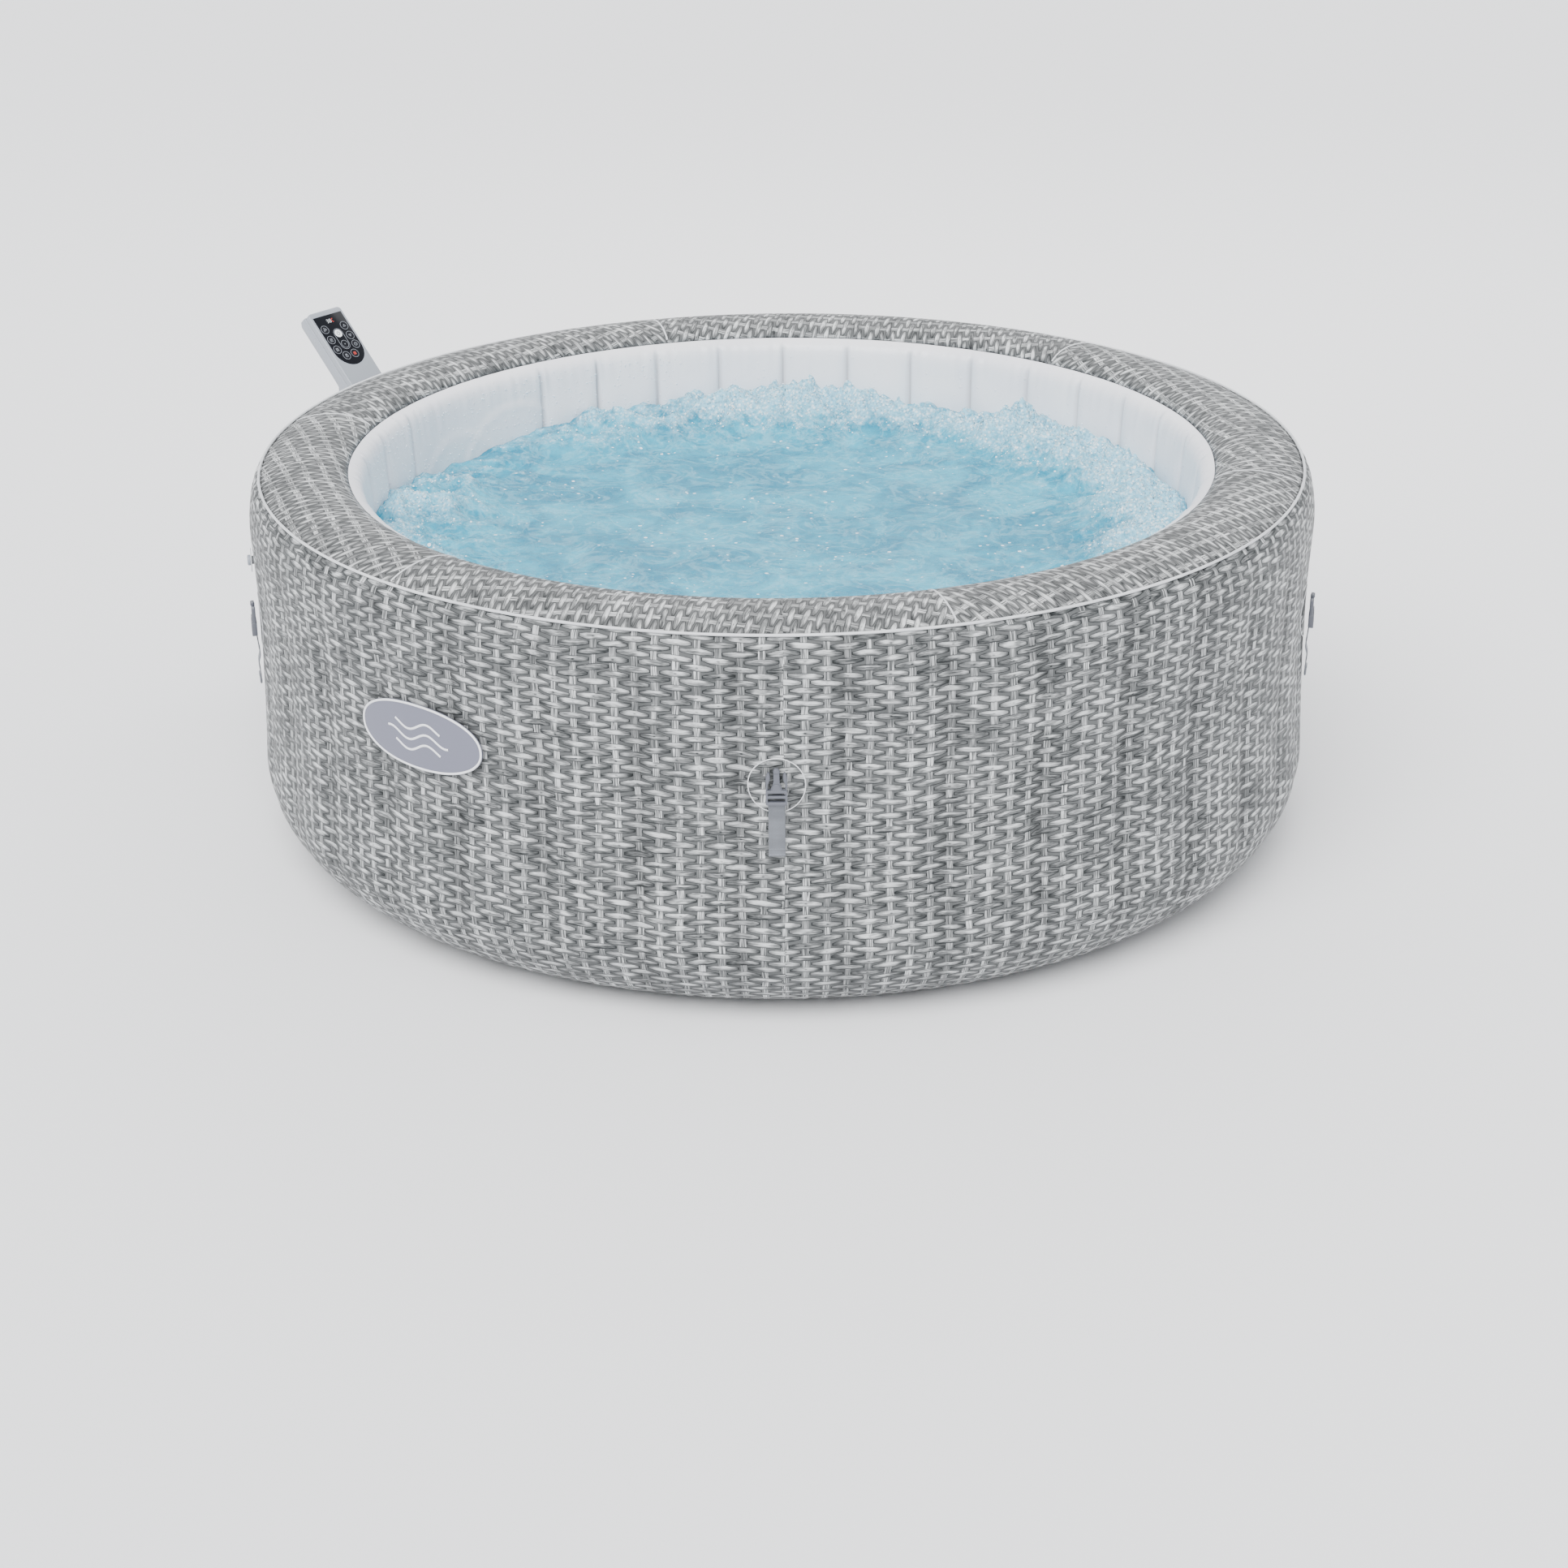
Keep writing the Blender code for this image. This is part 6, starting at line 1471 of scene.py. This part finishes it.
for number, lit in enumerate(([0, 1, 2, 5, 6], [0, 1, 2, 3, 4, 5, 6], [0, 2, 3, 4])):
    strokes = [SEGMENTS[k] for k in lit]
    tone = mark_red if number == 2 else mark_white
    on_panel(f"digit_{number + 1}", strokes, 28.6 + 6.6 * number, 13, 0.25, tone)
print("panel with", len(keys), "keys")

# %% [markdown]
# ## Softened copies of the plain mouldings
#
# A real moulding has no knife edges. These pieces keep the plain piece's shape exactly and gain a small
# round along each sharp edge.

# %% Softened mouldings
def softened(node, width, finish):
    """A copy of a plain piece with small rounds along its sharp edges, standing in for it."""
    source = frame["nodes"][node]
    mesh = source.data.copy()
    mesh.name = node + "_moulding"
    piece = bpy.data.objects.new(node + "_moulding", mesh)
    piece.matrix_world = source.matrix_world.copy()
    bpy.context.scene.collection.objects.link(piece)
    mesh.materials.clear()
    mesh.materials.append(finish)
    edit = bmesh.new()
    edit.from_mesh(mesh)
    bmesh.ops.remove_doubles(edit, verts=edit.verts, dist=0.00002)
    bmesh.ops.dissolve_limit(edit, angle_limit=math.radians(1.0), verts=edit.verts, edges=edit.edges)
    edit.to_mesh(mesh)
    edit.free()
    bevel = piece.modifiers.new("rounds", "BEVEL")
    bevel.width = width
    bevel.segments = 2
    bevel.limit_method = "ANGLE"
    bevel.angle_limit = math.radians(28)
    bevel.harden_normals = False
    bpy.context.view_layer.update()
    rounded_mesh = bpy.data.meshes.new_from_object(piece.evaluated_get(bpy.context.evaluated_depsgraph_get()))
    piece.modifiers.clear()
    piece.data = rounded_mesh
    rounded_mesh.shade_smooth()
    rounded_mesh.set_sharp_from_angle(angle=math.radians(32))
    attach(piece, body_of(source)[0])
    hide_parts(node)
    return piece


SOFT = {
    "head_rear_shell": (0.0016, silver_plastic, "pump_silver"),
    "housing_front": (0.0030, silver_plastic, "pump_silver"),
    "housing_rear": (0.0030, silver_plastic, "pump_silver"),
    "top_cover": (0.0030, silver_plastic, "pump_silver"),
    "pump_base": (0.0016, black_plastic, "pump_black"),
    "drain_cap": (0.0012, cap_plastic, "cap_grey"),
    "inflation_cap": (0.0010, cap_plastic, "cap_grey"),
    "filter_cap": (0.0012, fitting_plastic, "fitting_grey"),
    "dispenser_body": (0.0012, fitting_plastic, "fitting_grey"),
    "dispenser_dial": (0.0010, dial_plastic, "dial_dark"),
    "suction_nut": (0.0010, nut_plastic, "nut_black"),
    "return_nut": (0.0010, nut_plastic, "nut_black"),
    "air_nut": (0.0010, nut_plastic, "nut_black"),
}
for node, (width, finish, slot) in SOFT.items():
    moulding = softened(node, width, finish)
print(len(SOFT), "softened mouldings")

# %% [markdown]
# ## The filter cartridge
#
# Pleated paper is a star-shaped outline pulled into a prism, between two moulded end caps. Its size and
# place are measured on the plain piece, along the pump's own directions.

# %% Filter cartridge
def along_pump(node):
    """A plain piece's box in the pump's own directions: sideways, outwards and up."""
    turned = [PUMP_TURN.inverted() @ v.co for v in frame["nodes"][node].data.vertices]
    return [(min(p[k] for p in turned), max(p[k] for p in turned)) for k in range(3)]


wide, deep, tall = along_pump("filter_cartridge")
cartridge_at = PUMP_TURN @ Matrix.Translation(((wide[0] + wide[1]) / 2, deep[1], (tall[0] + tall[1]) / 2))
cartridge_at = cartridge_at @ Matrix.Rotation(math.radians(-90), 4, "X")
CARTRIDGE_REACH = (wide[1] - wide[0]) / 2
CARTRIDGE_LONG = deep[1] - deep[0]
CAP_THICK = 0.009
PLEATS = 72
CORE = CARTRIDGE_REACH * 0.42
reaches = [CARTRIDGE_REACH * 0.95, CARTRIDGE_REACH * 0.60] * PLEATS
folds = [(x * reach, y * reach) for (x, y), reach in zip(circle((0, 0), 1.0, PLEATS * 2), reaches)]
paper = [folds, circle((0, 0), CORE)]
pleat_paper = vinyl_finish("pleat_paper", (0.80, 0.80, 0.78, 1.0), (0.70, 0.71, 0.70, 1.0))
end_blue = moulded_finish("end_blue", (0.025, 0.060, 0.26), 0.35)
pleated = cartridge_at @ Matrix.Translation((0, 0, -CAP_THICK / 2))
pleats = plate_piece("cartridge_pleats", paper, CARTRIDGE_LONG - CAP_THICK, pleated, pleat_paper, "tub")
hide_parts("filter_cartridge")
cap_ring = [circle((0, 0), CARTRIDGE_REACH - 0.0002, 72), circle((0, 0), CORE, 48)]
for number, start in enumerate((0, CARTRIDGE_LONG - CAP_THICK)):
    seat = cartridge_at @ Matrix.Translation((0, 0, -start))
    name = f"cartridge_end_{number + 1}"
    end_cap = plate_piece(name, cap_ring, CAP_THICK, seat, end_blue, "tub", 0.0016, 3)
print("cartridge", round(2 * CARTRIDGE_REACH, 3), "wide,", round(CARTRIDGE_LONG, 3), "long")

# %% [markdown]
# ## The webs inside the wall
#
# The plain webs reach straight out to the plain skins. The dressed skins are drawn in where the webs hold
# them, so a copy of the webs is drawn in as far, and none of it pokes through the print.

# %% Tension webs
WEB_PULL_OUT = 0.0105
WEB_PULL_IN = 0.0098
web_mesh = frame["nodes"]["tension_webs"].data.copy()
web_mesh.name = "gathered_webs"
web_middle = (LINER_RADIUS + WALL_RADIUS) / 2
for vertex in web_mesh.vertices:
    reach = math.hypot(vertex.co.x, vertex.co.y)
    wanted = reach - WEB_PULL_IN if reach > web_middle else reach + WEB_PULL_OUT
    vertex.co.x *= wanted / reach
    vertex.co.y *= wanted / reach
webs = add_piece("gathered_webs", web_mesh, inner_vinyl, "tub")
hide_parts("tension_webs")
print("webs drawn in")

# %% [markdown]
# ## Finishes for the pieces kept from the frame
#
# Every plain piece whose shape is right stays, and only wears a better finish.

# %% Finishes by node
WEAR = (
    (base_vinyl, "base_sheet"),
    (liner_vinyl, "floor_sheet air_channel"),
    (inner_vinyl, "tension_webs air_duct"),
    (badge_silver, "badge_plate"),
    (fitting_plastic, "inflation_valve drain_valve filter_housing filter_cartridge filter_cap"),
    (fitting_plastic, "dispenser_body heater_feed_pipe"),
    (cap_plastic, "inflation_cap drain_cap"),
    (dial_plastic, "dispenser_dial"),
    (silver_plastic, "housing_front housing_rear top_cover head_front_shell head_rear_shell"),
    (black_plastic, "pump_base intake_grille pump_volute blower_housing swivel_neck touch_panel"),
    (seal_rubber, "cord_gland"),
    (rotor_plastic, "impeller blower_fan"),
    (coated_steel, "pump_motor blower_motor"),
    (drawn_steel, "heater_tube heating_element"),
    (circuit_lacquer, "control_board display_board"),
)
wear = {node: finish for finish, nodes in WEAR for node in nodes.split()}
for side in ("front", "right", "back", "left"):
    wear[f"buckle_{side}"] = buckle_plastic
    wear[f"strap_{side}"] = strap_webbing
for port in ("suction", "return", "air"):
    wear[f"{port}_sleeve"] = fitting_plastic
    wear[f"{port}_gasket"] = seal_rubber
    wear[f"{port}_stub"] = black_plastic
    wear[f"{port}_nut"] = nut_plastic
for node, finish in wear.items():
    slots = frame["nodes"][node].data.materials
    slots.clear()
    slots.append(finish)
print(len(wear), "plain pieces wear a finish")
